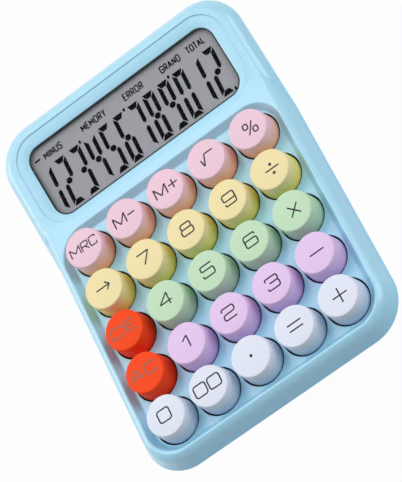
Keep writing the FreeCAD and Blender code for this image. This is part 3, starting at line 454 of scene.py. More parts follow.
class KeyColor(Enum):
    """Crown colours of the keys, and foot colours of painted shade and painted bounce light on their
    sides.
    """

    # Each foot colour is painted shade and painted bounce light: a cap's sides turn deeper and more
    # saturated towards the deck, pink towards orange.
    PINK = (srgb(233, 197, 212), srgb(248, 186, 158))
    YELLOW = (srgb(236, 220, 167), srgb(242, 224, 118))
    GREEN = (srgb(191, 220, 187), srgb(176, 212, 178))
    LILAC = (srgb(225, 195, 232), srgb(221, 183, 232))
    WHITE = (srgb(222, 226, 239), srgb(202, 216, 234))
    ORANGE = (srgb(242, 70, 14), srgb(250, 58, 10))

    def finish(self, foot: float, crown: float) -> GapShadowPlastic:
        """Give the finish of keys of this colour.

        Args:
            foot: Height where the cap leaves the deck, in metres.
            crown: Height of the cap's top, in metres.

        Returns:
            The finish.
        """
        # low is the foot colour: painted shade and painted bounce light on the cap's sides.
        top, low = self.value
        # The dark colour below the deck is painted shadow in the gap between the cap and its hole.
        return GapShadowPlastic(
            f"key_{self.name.lower()}", top, roughness=0.62, drift=0.02, specular=0.2,
            foot_color=low, foot=foot, crown=crown, gap_shadow_color=srgb(22, 26, 32),
        )


def release() -> None:
    """Leave edit mode and deselect everything."""
    if bpy.context.object is not None and bpy.context.object.mode != "OBJECT":
        bpy.ops.object.mode_set(mode="OBJECT")
    bpy.ops.object.select_all(action="DESELECT")


def take(obj: bpy.types.Object) -> None:
    """Select one object alone and make it active.

    Args:
        obj: The object.
    """
    release()
    obj.select_set(True)
    bpy.context.view_layer.objects.active = obj


def choose(obj: bpy.types.Object, mode: str, wanted: Callable[[object], bool]) -> None:
    """Open an object in edit mode with the wanted faces or edges selected.

    Args:
        obj: The object, which becomes active.
        mode: FACE or EDGE.
        wanted: Says whether a polygon or an edge, given by its end points, is wanted.
    """
    take(obj)
    bpy.ops.object.mode_set(mode="EDIT")
    bpy.ops.mesh.select_mode(type=mode)
    bpy.ops.mesh.select_all(action="DESELECT")
    bpy.ops.object.mode_set(mode="OBJECT")
    mesh = obj.data
    if mode == "FACE":
        for polygon in mesh.polygons:
            polygon.select = wanted(polygon)
    else:
        for edge in mesh.edges:
            edge.select = wanted([mesh.vertices[index].co for index in edge.vertices])
    bpy.ops.object.mode_set(mode="EDIT")


def smooth(obj: bpy.types.Object, angle: float) -> None:
    """Shade an object smooth except at edges that turn by more than the angle in degrees."""
    take(obj)
    bpy.ops.object.shade_smooth_by_angle(angle=math.radians(angle))


def wear(obj: bpy.types.Object, finish: Plastic, body: str) -> None:
    """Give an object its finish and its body.

    Args:
        obj: The object.
        finish: Its finish.
        body: The CAD body it rides on.
    """
    obj.data.materials.clear()
    obj.data.materials.append(finish.material())
    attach(obj, body)
    log.info("%s wears %s and has %d faces", obj.name, finish.name, len(obj.data.polygons))


def duplicate(source: bpy.types.Object, name: str) -> bpy.types.Object:
    """Copy an object together with its mesh.

    Args:
        source: The object to copy.
        name: Name of the copy.

    Returns:
        The copy, linked to the scene.
    """
    copy = bpy.data.objects.new(name, source.data.copy())
    copy.data.name = name
    bpy.context.collection.objects.link(copy)
    return copy


def weld(obj: bpy.types.Object, distance: float) -> None:
    """Join an object's loose corners, and leave it in edit mode with everything selected.

    Args:
        obj: The object.
        distance: Distance within which corners are joined, in metres.
    """
    take(obj)
    bpy.ops.object.mode_set(mode="EDIT")
    bpy.ops.mesh.select_all(action="SELECT")
    bpy.ops.mesh.remove_doubles(threshold=distance)


def add_line(curve: bpy.types.Curve, points: list[Vector], closed: bool) -> None:
    """Add a line to a curve.

    Args:
        curve: The curve.
        points: Points in millimetres.
        closed: Whether the line ends where it starts.
    """
    spline = curve.splines.new("POLY")
    spline.points.add(len(points) - 1)
    for target, point in zip(spline.points, points):
        target.co = (*(point * MM), 1)
    spline.use_cyclic_u = closed


def into_mesh(name: str, curve: bpy.types.Curve) -> bpy.types.Object:
    """Turn a curve into a mesh.

    Args:
        name: Name of the object.
        curve: The curve.

    Returns:
        The mesh object, linked to the scene.
    """
    obj = bpy.data.objects.new(name, curve)
    bpy.context.collection.objects.link(obj)
    take(obj)
    bpy.ops.object.convert(target="MESH")
    return bpy.context.object


@dataclass
class Shell:
    """A moulded shell: a merged copy of its CAD node with soft edges.

    Attributes:
        node: The CAD node.
        body: The body it rides on.
        edge: Width of the soft edges in metres.
        widest: Width of the widest soft edge in metres.
        slip: Distance within which loose corners are joined, in metres.
        bend: Edges that turn by more than this many degrees are softened.
        flat: Faces that turn by less than this many degrees are joined.
        steps: Steps of a soft edge.
    """

    node: str
    body: str
    edge: float = 0.2 * MM
    widest: float = 0.7 * MM
    slip: float = 0.004 * MM
    bend: float = 30.0
    flat: float = 0.5
    steps: int = 3

    def edge_width(self, middle: Vector) -> float:
        """Give the width in metres of the soft edge with this middle."""
        return self.edge

    def build(self) -> bpy.types.Object:
        """Make the shell from the CAD node.

        Returns:
            The finished object.
        """
        obj = duplicate(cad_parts[self.node], f"{self.node}_shell")
        weld(obj, self.slip)
        bpy.ops.mesh.dissolve_limited(angle_limit=math.radians(self.flat))
        bpy.ops.mesh.normals_make_consistent(inside=False)
        bpy.ops.object.mode_set(mode="OBJECT")
        self.weigh_edges(obj.data)
        soften = obj.modifiers.new("soft_edges", "BEVEL")
        soften.width = self.widest
        soften.segments = self.steps
        soften.limit_method = "WEIGHT"
        soften.use_clamp_overlap = False
        bpy.ops.object.modifier_apply(modifier=soften.name)
        smooth(obj, self.bend)
        flatten = obj.modifiers.new("flat_faces", "WEIGHTED_NORMAL")
        flatten.keep_sharp = True
        bpy.ops.object.modifier_apply(modifier=flatten.name)
        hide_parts(self.node)
        wear(obj, Finish.CASE.value, self.body)
        return obj

    def weigh_edges(self, mesh: bpy.types.Mesh) -> None:
        """Mark how soft each sharp edge becomes.

        Args:
            mesh: The merged mesh.
        """
        sides: dict[tuple[int, int], list[Vector]] = {}
        for polygon in mesh.polygons:
            for pair in polygon.edge_keys:
                sides.setdefault(pair, []).append(polygon.normal)
        weights = mesh.attributes.new("bevel_weight_edge", "FLOAT", "EDGE")
        for edge in mesh.edges:
            normals = sides.get(edge.key, [])
            if len(normals) != 2 or normals[0].angle(normals[1], 0) < math.radians(self.bend):
                continue
            first, last = (mesh.vertices[index].co for index in edge.vertices)
            weights.data[edge.index].value = self.edge_width((first + last) / 2) / self.widest


@dataclass
class UpperShell(Shell):
    """The upper shell, whose key well has edges of its own.

    Attributes:
        deck: Height of the key deck.
        crest: Height of the rim.
        hole: Radius of the key holes.
        hole_edge: Width of the soft edges of the key holes.
        foot_edge: Width of the cove round the deck.
        mouth_edge: Width of the soft edge round the mouth of the well.
        slack: How near a height has to be to count.
    """

    deck: float = 15.0 * MM
    crest: float = 18.3 * MM
    hole: float = 9.45 * MM
    hole_edge: float = 0.08 * MM
    foot_edge: float = 0.6 * MM
    mouth_edge: float = 0.35 * MM
    slack: float = 0.05 * MM

    def edge_width(self, middle: Vector) -> float:
        """Give the width of the soft edge at a place.

        Args:
            middle: Middle of the edge.

        Returns:
            The width in metres.
        """
        if abs(middle.z - self.deck) < self.slack:
            return self.hole_edge if self.at_hole(middle) else self.foot_edge
        if abs(middle.z - self.crest) < self.slack:
            return self.mouth_edge
        return self.edge / 2 if middle.z < self.deck else self.edge

    def at_hole(self, point: Vector) -> bool:
        """Say whether a point lies on the edge of a key hole."""
        near = self.hole + self.slack
        return any((point.xy - middle.xy).length < near for middle in key_middles())


@dataclass
class Case:
    """The blue housing: upper shell, lower shell and battery door."""

    shells: list[Shell] = field(
        default_factory=lambda: [
            UpperShell("top_case", "case"),
            Shell("bottom_case", "case"),
            Shell("battery_door", "battery_door", edge=0.1 * MM),
        ]
    )

    def build(self) -> None:
        """Make every shell."""
        for shell in self.shells:
            shell.build()


@dataclass(frozen=True)
class Stroke:
    """One line of a legend, in shares of the letter's width and height.

    Attributes:
        points: Corners of the line.
        soft: Radius of its corners in millimetres.
        closed: Whether it ends where it starts.
    """

    points: tuple[Point, ...]
    soft: float = 1.1
    closed: bool = False


@dataclass(frozen=True)
class Letter:
    """A letter of the legends.

    Attributes:
        width: Width in millimetres between the middles of its outer lines.
        strokes: Its lines.
        dots: Middles of its round dots.
    """

    width: float
    strokes: tuple[Stroke, ...] = ()
    dots: tuple[Point, ...] = ()

    def spot(self, point: Point, left: float, height: float) -> Vector:
        """Give the place in millimetres of a point of the letter, in a row about the X axis."""
        return Vector((left + point[0] * self.width, (point[1] - 0.5) * height, 0))


def row_width(letters: list[Letter], gap: float) -> float:
    """Give the width in millimetres of a row of letters, between the middles of its outer lines."""
    return sum(letter.width for letter in letters) + gap * (len(letters) - 1)


# Radius in millimetres of a corner that looks sharp
SHARP = 0.12
BOX = ((0, 0), (1, 0), (1, 1), (0, 1))
DASH = Stroke(((0, 0.5), (1, 0.5)), SHARP)
LETTERS: dict[str, Letter] = {
    "0": Letter(5.3, (Stroke(BOX, closed=True),)),
    "1": Letter(2.4, (Stroke(((0, 0.7), (1, 1), (1, 0)), SHARP),)),
    "2": Letter(5.3, (Stroke(((0, 0.76), (0, 1), (1, 1), (1, 0.5), (0, 0.46), (0, 0), (1, 0)), 0.9),)),
    "3": Letter(
        5.3,
        (
            Stroke(((0, 0.78), (0, 1), (1, 1), (1, 0.54), (0.25, 0.54)), 0.9),
            Stroke(((0.25, 0.54), (1, 0.54), (1, 0), (0, 0), (0, 0.22)), 0.9),
        ),
    ),
    "4": Letter(5.5, (Stroke(((0.78, 0), (0.78, 1), (0, 0.3), (1, 0.3)), SHARP),)),
    "5": Letter(
        5.3, (Stroke(((1, 1), (0, 1), (0, 0.58), (1, 0.58), (1, 0), (0, 0), (0, 0.22)), 0.7),)
    ),
    "6": Letter(
        5.3,
        (
            Stroke(((0, 0), (1, 0), (1, 0.58), (0, 0.58)), 0.9, closed=True),
            Stroke(((0, 0.3), (0, 1), (0.94, 1), (0.94, 0.8)), 0.9),
        ),
    ),
    "7": Letter(5.3, (Stroke(((0, 1), (1, 1), (0.34, 0)), SHARP),)),
    "8": Letter(
        5.3,
        (
            Stroke(((0.08, 0.54), (0.92, 0.54), (0.92, 1), (0.08, 1)), 0.8, closed=True),
            Stroke(((0, 0), (1, 0), (1, 0.54), (0, 0.54)), 0.9, closed=True),
        ),
    ),
    "9": Letter(
        5.3,
        (
            Stroke(((0, 0.42), (1, 0.42), (1, 1), (0, 1)), 0.9, closed=True),
            Stroke(((1, 0.7), (1, 0), (0.06, 0), (0.06, 0.2)), 0.9),
        ),
    ),
    "M": Letter(4.4, (Stroke(((0, 0), (0, 1), (0.5, 0.3), (1, 1), (1, 0)), SHARP),)),
    "wide_M": Letter(5.3, (Stroke(((0, 0), (0, 1), (0.5, 0.12), (1, 1), (1, 0)), SHARP),)),
    "R": Letter(
        3.0,
        (
            Stroke(((0, 0), (0, 1), (1, 1), (1, 0.45), (0, 0.45)), 0.6),
            Stroke(((0.5, 0.45), (1, 0)), SHARP),
        ),
    ),
    "C": Letter(3.0, (Stroke(((1, 0.76), (1, 1), (0, 1), (0, 0), (1, 0), (1, 0.24)), 0.7),)),
    "E": Letter(
        4.4,
        (
            Stroke(((1, 1), (0, 1), (0, 0), (1, 0)), 0.5),
            Stroke(((0, 0.52), (0.9, 0.52)), SHARP),
        ),
    ),
    "wide_C": Letter(4.9, (Stroke(((1, 0.76), (1, 1), (0, 1), (0, 0), (1, 0), (1, 0.24)), 1.0),)),
    "A": Letter(
        5.0,
        (
            Stroke(((0, 0), (0.42, 1), (0.58, 1), (1, 0)), SHARP),
            Stroke(((0.2, 0.34), (0.8, 0.34)), SHARP),
        ),
    ),
    "root": Letter(6.3, (Stroke(((0, 0.66), (0.12, 0), (0.38, 1), (1, 1)), SHARP),)),
    "percent": Letter(
        5.4,
        (
            Stroke(((0, 0.56), (0.36, 0.56), (0.36, 1), (0, 1)), 0.7, closed=True),
            Stroke(((0.64, 0), (1, 0), (1, 0.44), (0.64, 0.44)), 0.7, closed=True),
            Stroke(((0.22, 0), (0.8, 1)), SHARP),
        ),
    ),
    "arrow": Letter(6.2, (DASH, Stroke(((0.72, 0.92), (1, 0.5), (0.72, 0.08)), SHARP))),
    "plus": Letter(6.3, (DASH, Stroke(((0.5, -0.14), (0.5, 1.14)), SHARP))),
    "less": Letter(6.3, (DASH,)),
    "times": Letter(
        4.3, (Stroke(((0, 0.04), (1, 0.96)), SHARP), Stroke(((0, 0.96), (1, 0.04)), SHARP))
    ),
    "divide": Letter(6.1, (DASH,), ((0.5, 0.1), (0.5, 0.9))),
    "equal": Letter(
        6.1, (Stroke(((0, 0.26), (1, 0.26)), SHARP), Stroke(((0, 0.76), (1, 0.76)), SHARP))
    ),
    "+": Letter(4.2, (DASH, Stroke(((0.5, 0.07), (0.5, 0.93)), SHARP))),
    "-": Letter(3.4, (DASH,)),
    "point": Letter(0.1, (), ((0.5, 0.5),)),
}


@dataclass(frozen=True)
class Key:
    """One key of the pad.

    Attributes:
        node: The CAD node, which is also the body.
        color: Its colours.
        letters: Names of the letters of its legend, from left to right.
        height: Height of the letters in millimetres.
        gap: Gap between the letters in millimetres.
        bold: How much thicker than usual the lines are.
        ink: Finish of the legend.
    """

    node: str
    color: KeyColor
    letters: tuple[str, ...]
    height: float = 5.0
    gap: float = 1.5
    bold: float = 1.0
    ink: Finish = Finish.INK


KEYS: tuple[Key, ...] = (
    Key("key_recall", KeyColor.PINK, ("M", "R", "C"), 3.9, 0.9, bold=0.85),
    Key("key_memory_minus", KeyColor.PINK, ("wide_M", "-"), 4.7, 1.1),
    Key("key_memory_plus", KeyColor.PINK, ("wide_M", "+"), 4.7, 1.1),
    Key("key_root", KeyColor.PINK, ("root",), 4.9),
    Key("key_percent", KeyColor.PINK, ("percent",), 5.3),
    Key("key_backspace", KeyColor.YELLOW, ("arrow",), 4.4),
    Key("key_7", KeyColor.YELLOW, ("7",)),
    Key("key_8", KeyColor.YELLOW, ("8",)),
    Key("key_9", KeyColor.YELLOW, ("9",)),
    Key("key_divide", KeyColor.YELLOW, ("divide",)),
    Key("key_clear_entry", KeyColor.ORANGE, ("wide_C", "E"), 4.3, bold=1.4, ink=Finish.FADED_INK),
    Key("key_4", KeyColor.GREEN, ("4",), 5.2),
    Key("key_5", KeyColor.GREEN, ("5",)),
    Key("key_6", KeyColor.GREEN, ("6",)),
    Key("key_multiply", KeyColor.GREEN, ("times",)),
    Key("key_all_clear", KeyColor.ORANGE, ("A", "wide_C"), 4.3, bold=1.4, ink=Finish.FADED_INK),
    Key("key_1", KeyColor.LILAC, ("1",)),
    Key("key_2", KeyColor.LILAC, ("2",)),
    Key("key_3", KeyColor.LILAC, ("3",)),
    Key("key_subtract", KeyColor.LILAC, ("less",)),
    Key("key_0", KeyColor.WHITE, ("0",)),
    Key("key_double_zero", KeyColor.WHITE, ("0", "0"), gap=1.1),
    Key("key_point", KeyColor.WHITE, ("point",)),
    Key("key_equals", KeyColor.WHITE, ("equal",)),
    Key("key_add", KeyColor.WHITE, ("plus",)),
)


@cache
def key_middles() -> list[Vector]:
    """Give the middle of each key, in the order of KEYS."""
    boxes = [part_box(key.node) for key in KEYS]
    return [(low + high) / 2 for low, high in boxes]


def soften_corners(points: list[Vector], radius: float, closed: bool) -> list[Vector]:
    """Round the corners of a line.

    Args:
        points: The corners, in millimetres.
        radius: Radius of the rounding.
        closed: Whether the line ends where it starts.

    Returns:
        The points of the rounded line.
    """
    count = len(points)
    line: list[Vector] = []
    for index, corner in enumerate(points):
        if not closed and index in (0, count - 1):
            line.append(corner)
            continue
        before = points[index - 1] - corner
        after = points[(index + 1) % count] - corner
        half = before.angle(after) / 2
        reach = min(radius / math.tan(half), CORNER_REACH * min(before.length, after.length))
        inner = reach * math.tan(half)
        inward = (before.normalized() + after.normalized()).normalized()
        middle = corner + inward * inner / math.sin(half)
        start = corner + before.normalized() * reach - middle
        turn = math.pi - 2 * half
        steps = max(2, round(turn / math.radians(ARC_STEP)))
        sense = 1 if before.cross(after).z < 0 else -1
        for step in range(steps + 1):
            line.append(middle + Matrix.Rotation(sense * turn * step / steps, 3, "Z") @ start)
    return line


@dataclass(frozen=True)
class Pen:
    """A pen that draws letters in flat ink.

    Attributes:
        line: Width of its lines in millimetres.
        dot: Width of its dots in millimetres.
        ink: Thickness of the ink in metres.
        fineness: Fineness of a line's round section.
        sides: Sides of its dots.
    """

    line: float = 0.62
    dot: float = 1.3
    ink: float = 0.02 * MM
    fineness: int = 2
    sides: int = 16

    def write(self, name: str, letters: list[Letter], height: float, gap: float) -> bpy.types.Object:
        """Draw a row of letters about the origin.

        Args:
            name: Name of the object.
            letters: The letters from left to right.
            height: Height of the letters in millimetres.
            gap: Gap between the letters in millimetres.

        Returns:
            The row as a mesh.
        """
        half_line = 0.5 * self.line * MM
        curve = bpy.data.curves.new(name, "CURVE")
        curve.dimensions = "3D"
        curve.bevel_depth = half_line
        curve.bevel_resolution = self.fineness
        curve.use_fill_caps = True
        left = -row_width(letters, gap) / 2
        for letter in letters:
            for stroke in letter.strokes:
                corners = [letter.spot(point, left, height) for point in stroke.points]
                add_line(curve, soften_corners(corners, stroke.soft, stroke.closed), stroke.closed)
            for point in letter.dots:
                self.add_dot(curve, letter.spot(point, left, height))
            left += letter.width + gap
        obj = into_mesh(name, curve)
        obj.data.transform(Matrix.Diagonal((1, 1, self.ink / half_line, 1)))
        return obj

    def add_dot(self, curve: bpy.types.Curve, spot: Vector) -> None:
        """Add a round dot as a small ring that fills itself.

        Args:
            curve: The row's curve.
            spot: Its middle in millimetres.
        """
        radius = self.dot / 2 - self.line / 2
        ring = []
        for step in range(self.sides):
            angle = 2 * math.pi * step / self.sides
            ring.append(spot + Vector((math.cos(angle), math.sin(angle), 0)) * radius)
        add_line(curve, ring, True)


@dataclass
class Keypad:
    """The twenty-five key caps with their legends.

    Attributes:
        top_radius: Radius of a cap at its top.
        base_radius: Radius of a cap at the flange.
        flange_radius: Radius of the flange that keeps the key in the case.
        flange_thick: Thickness of the flange.
        flange_top: Height of the flange's top.
        deck: Height of the deck that the caps rise from.
        wall: Wall of the cap.
        roof: Thickness of the cap's top.
        plunger: Radius of the plunger.
        edge: Radius of the top edge.
        edge_steps: Steps of the top edge.
        slack: How near a height has to be to count.
        sides: Sides of the round faces.
        line: Width of the legends' lines in millimetres.
        print_back: How far the first legend sits behind the middle of its key.
        drift_right: Shift of the legends to the right for each metre across the pad.
        drift_left: Shift to the left for each metre down the pad.
        drift_front: Shift to the front for each metre across the pad.
    """

    top_radius: float = 8.1 * MM
    base_radius: float = 8.85 * MM
    flange_radius: float = 9.8 * MM
    flange_thick: float = 1.2 * MM
    flange_top: float = 12.9 * MM
    deck: float = 15.0 * MM
    wall: float = 1.4 * MM
    roof: float = 1.6 * MM
    plunger: float = 2.0 * MM
    edge: float = 0.5 * MM
    edge_steps: int = 5
    slack: float = 0.05 * MM
    sides: int = 96
    line: float = 0.62
    print_back: float = 0.4 * MM
    drift_right: float = 0.015
    drift_left: float = 0.005
    drift_front: float = 0.01

    def build(self) -> None:
        """Make every key and its legend."""
        low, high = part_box(KEYS[0].node)
        master = self.cap(high.z, low.z)
        for key, middle in zip(KEYS, key_middles()):
            cap = duplicate(master, f"{key.node}_cap")
            cap.data.transform(Matrix.Translation((middle.x, middle.y, 0)))
            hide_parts(key.node)
            wear(cap, key.color.finish(self.deck, high.z), key.node)
            pen = Pen(line=self.line * key.bold)
            letters = [LETTERS[letter] for letter in key.letters]
            legend = pen.write(f"{key.node}_legend", letters, key.height, key.gap)
            spot = middle.xy + self.print_shift(middle)
            legend.data.transform(Matrix.Translation((spot.x, spot.y, high.z)))
            wear(legend, key.ink.value, key.node)
        bpy.data.objects.remove(master)

    def print_shift(self, middle: Vector) -> Vector:
        """Give how far the legend sits beside the middle of its key.

        Args:
            middle: Middle of the key.

        Returns:
            The shift across the deck, in metres.
        """
        start = key_middles()[0]
        across = middle.x - start.x
        down = start.y - middle.y
        right = self.drift_right * across - self.drift_left * down
        return Vector((right, self.print_back - self.drift_front * across))

    def cap(self, top: float, foot: float) -> bpy.types.Object:
        """Model one cap about the vertical axis.

        Args:
            top: Height of the cap's top.
            foot: Height of the plunger's foot.

        Returns:
            The cap, at rest height in the middle of the frame.
        """
        release()
        bpy.ops.mesh.primitive_cylinder_add(
            vertices=self.sides,
            radius=self.flange_radius,
            depth=self.flange_thick,
            location=(0, 0, self.flange_top - self.flange_thick / 2),
        )
        obj = bpy.context.object
        bpy.ops.object.transform_apply(location=True)
        choose(obj, "FACE", lambda face: face.normal.z > LEVEL)
        bpy.ops.mesh.inset(thickness=self.flange_radius - self.base_radius)
        bpy.ops.mesh.extrude_region_move(
            TRANSFORM_OT_translate={"value": (0, 0, top - self.flange_top)}
        )
        shrink = self.top_radius / self.base_radius
        bpy.ops.transform.resize(value=(shrink, shrink, 1), center_override=(0, 0, top))
        self.bevel_rim(obj, top)
        self.hollow(obj, top, foot)
        smooth(obj, ROUND_BEND)
        return obj

    def bevel_rim(self, obj: bpy.types.Object, top: float) -> None:
        """Round the top edge of a cap whose top is at the given height."""
        choose(obj, "EDGE", lambda ends: min(end.z for end in ends) > top - self.slack)
        bpy.ops.mesh.bevel(offset=self.edge, segments=self.edge_steps, profile=0.5, affect="EDGES")

    def hollow(self, obj: bpy.types.Object, top: float, foot: float) -> None:
        """Open the underside of a cap and leave the plunger in it.

        Args:
            obj: The cap.
            top: Height of its top.
            foot: Height of the plunger's foot.
        """
        under = self.flange_top - self.flange_thick
        choose(obj, "FACE", lambda face: face.normal.z < -LEVEL)
        bpy.ops.mesh.inset(thickness=self.flange_radius - self.top_radius + self.wall)
        bpy.ops.mesh.extrude_region_move(
            TRANSFORM_OT_translate={"value": (0, 0, top - self.roof - under)}
        )
        bpy.ops.mesh.inset(thickness=self.top_radius - self.wall - self.plunger)
        bpy.ops.mesh.extrude_region_move(
            TRANSFORM_OT_translate={"value": (0, 0, foot - top + self.roof)}
        )
        bpy.ops.object.mode_set(mode="OBJECT")


STATUS_LETTERS: dict[str, Letter] = {
    "A": Letter(
        1.6, (Stroke(((0, 0), (0.5, 1), (1, 0)), SHARP), Stroke(((0.18, 0.34), (0.82, 0.34)), SHARP))
    ),
    "D": Letter(1.4, (Stroke(((0, 0), (0, 1)), SHARP), Stroke(((0, 1), (1, 1), (1, 0), (0, 0)), 0.8))),
    "E": Letter(
        1.2, (Stroke(((1, 1), (0, 1), (0, 0), (1, 0)), SHARP), Stroke(((0, 0.52), (0.9, 0.52)), SHARP))
    ),
    "G": Letter(1.5, (Stroke(((1, 0.8), (1, 1), (0, 1), (0, 0), (1, 0), (1, 0.48), (0.55, 0.48)), 0.5),)),
    "I": Letter(0.05, (Stroke(((0.5, 0), (0.5, 1)), SHARP),)),
    "L": Letter(1.1, (Stroke(((0, 1), (0, 0), (1, 0)), SHARP),)),
    "M": Letter(1.9, (Stroke(((0, 0), (0, 1), (0.5, 0.25), (1, 1), (1, 0)), SHARP),)),
    "N": Letter(1.45, (Stroke(((0, 0), (0, 1), (1, 0), (1, 1)), SHARP),)),
    "O": Letter(1.6, (Stroke(BOX, 0.75, closed=True),)),
    "R": Letter(
        1.35,
        (
            Stroke(((0, 0), (0, 1), (1, 1), (1, 0.48), (0, 0.48)), 0.4),
            Stroke(((0.5, 0.48), (1, 0)), SHARP),
        ),
    ),
    "S": Letter(
        1.3, (Stroke(((1, 0.8), (1, 1), (0, 1), (0, 0.52), (1, 0.52), (1, 0), (0, 0), (0, 0.2)), 0.5),)
    ),
    "T": Letter(1.4, (Stroke(((0, 1), (1, 1)), SHARP), Stroke(((0.5, 1), (0.5, 0)), SHARP))),
    "U": Letter(1.4, (Stroke(((0, 1), (0, 0), (1, 0), (1, 1)), 0.6),)),
    "Y": Letter(
        1.5, (Stroke(((0, 1), (0.5, 0.48), (1, 1)), SHARP), Stroke(((0.5, 0.48), (0.5, 0)), SHARP))
    ),
}
# Corners of a tick or point in millimetres about its middle
TICK = ((-0.6, 0), (-0.3, 0.55), (0.3, 0.55), (0.55, 0), (0.2, -0.9), (-0.3, -0.9))
# Segments that show each digit
SEGMENTS: dict[str, str] = {
    "0": "abcdef",
    "1": "bc",
    "2": "abdeg",
    "3": "abcdg",
    "4": "bcfg",
    "5": "acdfg",
    "6": "acdefg",
    "7": "abc",
    "8": "abcdefg",
    "9": "abcdfg",
}


@dataclass
class Display:
    """The liquid crystal display: its picture, glass, lens and gaskets.

    Lengths are in millimetres, across the display and up its face from the middle of the glass.

    Attributes:
        tilt: Slope of the display in degrees.
        digits: The number on show.
        first: Middle of the first digit.
        pitch: From digit to digit.
        foot: Foot of the digits.
        height: Height of the digits.
        half: Half width of the digits.
        bar: Width of the upright segments.
        cross: Width of the level segments.
        lean: Sideways lean of the digits for each millimetre of height.
        gap: Gap where an upright meets a level segment.
        taper: How far a level segment's inner corners reach under the uprights.
        notch: How far the uprights stop short of the top and foot at their outer side.
        shoulder: From the middle of a digit to the shoulders of the uprights.
        tip: From the middle of a digit to the tips of the uprights.
        dash_reach: How far the middle dash reaches under the uprights.
        dash_half: Half length of the dash's level sides.
        dash_rise: Half height of the dash.
        tick_after: Digits that a tick follows, counted from 0.
        tick_right: From the right side of a digit to the middle of its tick or point.
        tick_rise: From the top of the digits to the middle of a tick.
        point_rise: From the foot of the digits to the middle of the point.
        minus_bar: Left, foot, right and top of the minus bar.
        flags: Words of the status line with their middles and widths.
        flag_middle: Middle line of the status words.
        flag_height: Height of their letters between the middles of the lines.
        flag_line: Width of their lines.
        flag_gap: Gap between their letters before a word is fitted to its width.
        lift: Height of the picture over the glass.
        ink: Half thickness of the picture.
    """

    tilt: float = 13.3
    digits: str = "123456789012"
    first: float = -41.55
    pitch: float = 7.4
    foot: float = -13.7
    height: float = 20.4
    half: float = 2.7
    bar: float = 1.75
    cross: float = 2.2
    lean: float = 0.078
    gap: float = 0.3
    taper: float = 0.1
    notch: float = 0.7
    shoulder: float = 1.5
    tip: float = 0.6
    dash_reach: float = 0.5
    dash_half: float = 0.75
    dash_rise: float = 1.2
    tick_after: tuple[int, ...] = (2, 5, 8)
    tick_right: float = 0.75
    tick_rise: float = 0.2
    point_rise: float = 0.6
    minus_bar: tuple[float, float, float, float] = (-43.6, 10.6, -40.9, 11.3)
    flags: tuple[tuple[str, float, float], ...] = (
        ("MINUS", -34.65, 9.0),
        ("MEMORY", -14.05, 12.2),
        ("ERROR", 5.95, 9.8),
        ("GRAND", 24.35, 9.8),
        ("TOTAL", 36.85, 8.6),
    )
    flag_middle: float = 10.75
    flag_height: float = 2.65
    flag_line: float = 0.52
    flag_gap: float = 0.8
    lift: float = 0.03
    ink: float = 0.01

    def build(self) -> None:
        """Draw the picture and dress the pieces of the display."""
        self.picture()
        self.status_line()
        for node, finish, slot in (
            ("lcd_front_glass", Finish.LCD, "display_glass"),
            ("lcd_rear_glass", Finish.LCD, "display_glass"),
            ("lcd_reflector", Finish.REFLECTOR, "display_grey"),
            ("display_window", Finish.LENS, "clear_lens"),
            ("window_gasket", Finish.FOAM, "black_foam"),
            ("dust_gasket", Finish.FOAM, "black_foam"),
            ("lcd_frame", Finish.TRAY, "tray_white"),
        ):
            wear(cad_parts[node], finish.value, "case")

    def stand(self) -> Matrix:
        """Give the place of the glass.

        Returns:
            The matrix from the glass's own plane to the frame, in metres.
        """
        low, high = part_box("lcd_front_glass")
        slope = math.radians(self.tilt)
        level = math.cos(slope)
        steep = math.sin(slope)
        size = high - low
        thick = (size.z * level - size.y * steep) / math.cos(2 * slope)
        length = (size.y * level - size.z * steep) / math.cos(2 * slope)
        top_edge = Vector((0, high.y - thick * steep, high.z))
        rise = Vector((0, level, steep))
        out = Vector((0, -steep, level))
        middle = top_edge - rise * length / 2 + out * self.lift * MM
        return Matrix.Translation(middle) @ Matrix.Rotation(slope, 4, "X")

    def segment(self, name: str) -> list[Point]:
        """Give the outline of a segment of a digit.

        Args:
            name: A letter from a to g, as is usual for seven segments.

        Returns:
            Corners about the digit's middle line and from its foot.
        """
        middle = self.height / 2
        inner = self.half - self.bar
        if name == "g":
            wide = inner + self.dash_reach
            half = self.dash_half
            top = middle + self.dash_rise
            low = middle - self.dash_rise
            return [(-wide, middle), (-half, top), (half, top), (wide, middle), (half, low), (-half, low)]
        under = self.height - self.cross
        if name in "ad":
            wide = self.half - self.gap
            narrow = inner + self.taper
            outline = [(-wide, self.height), (wide, self.height), (narrow, under), (-narrow, under)]
        else:
            shoulder = middle + self.shoulder
            outline = [
                (self.half, self.height - self.notch),
                (self.half, shoulder),
                (self.half - self.bar / 2, middle + self.tip),
                (inner, shoulder),
                (inner, under - self.gap),
            ]
        if name in "cde":
            outline = [(x, self.height - y) for x, y in outline]
        if name in "ef":
            outline = [(-x, y) for x, y in outline]
        return outline

    def picture(self) -> None:
        """Draw the digits, the ticks between their threes and the point."""
        outlines = []
        for index, digit in enumerate(self.digits):
            middle = self.first + index * self.pitch
            for name in SEGMENTS[digit]:
                outlines.append([self.slant(middle, x, y) for x, y in self.segment(name)])
            if index in self.tick_after:
                tick = self.tick(self.height + self.tick_rise)
                outlines.append([self.slant(middle, x, y) for x, y in tick])
        last = self.first + (len(self.digits) - 1) * self.pitch
        outlines.append([self.slant(last, x, y) for x, y in self.tick(self.point_rise)])
        obj = self.flat("display_digits", outlines)
        wear(obj, Finish.SEGMENT.value, "case")

    def tick(self, level: float) -> list[Point]:
        """Give the outline of a tick or point to the right of a digit, with its middle at a level."""
        middle = self.half + self.tick_right
        return [(middle + x, level + y) for x, y in TICK]

    def slant(self, middle: float, x: float, y: float) -> Point:
        """Give the place on the glass of a point of a digit, which leans with its top in place."""
        return middle + x + self.lean * (y - self.height), self.foot + y

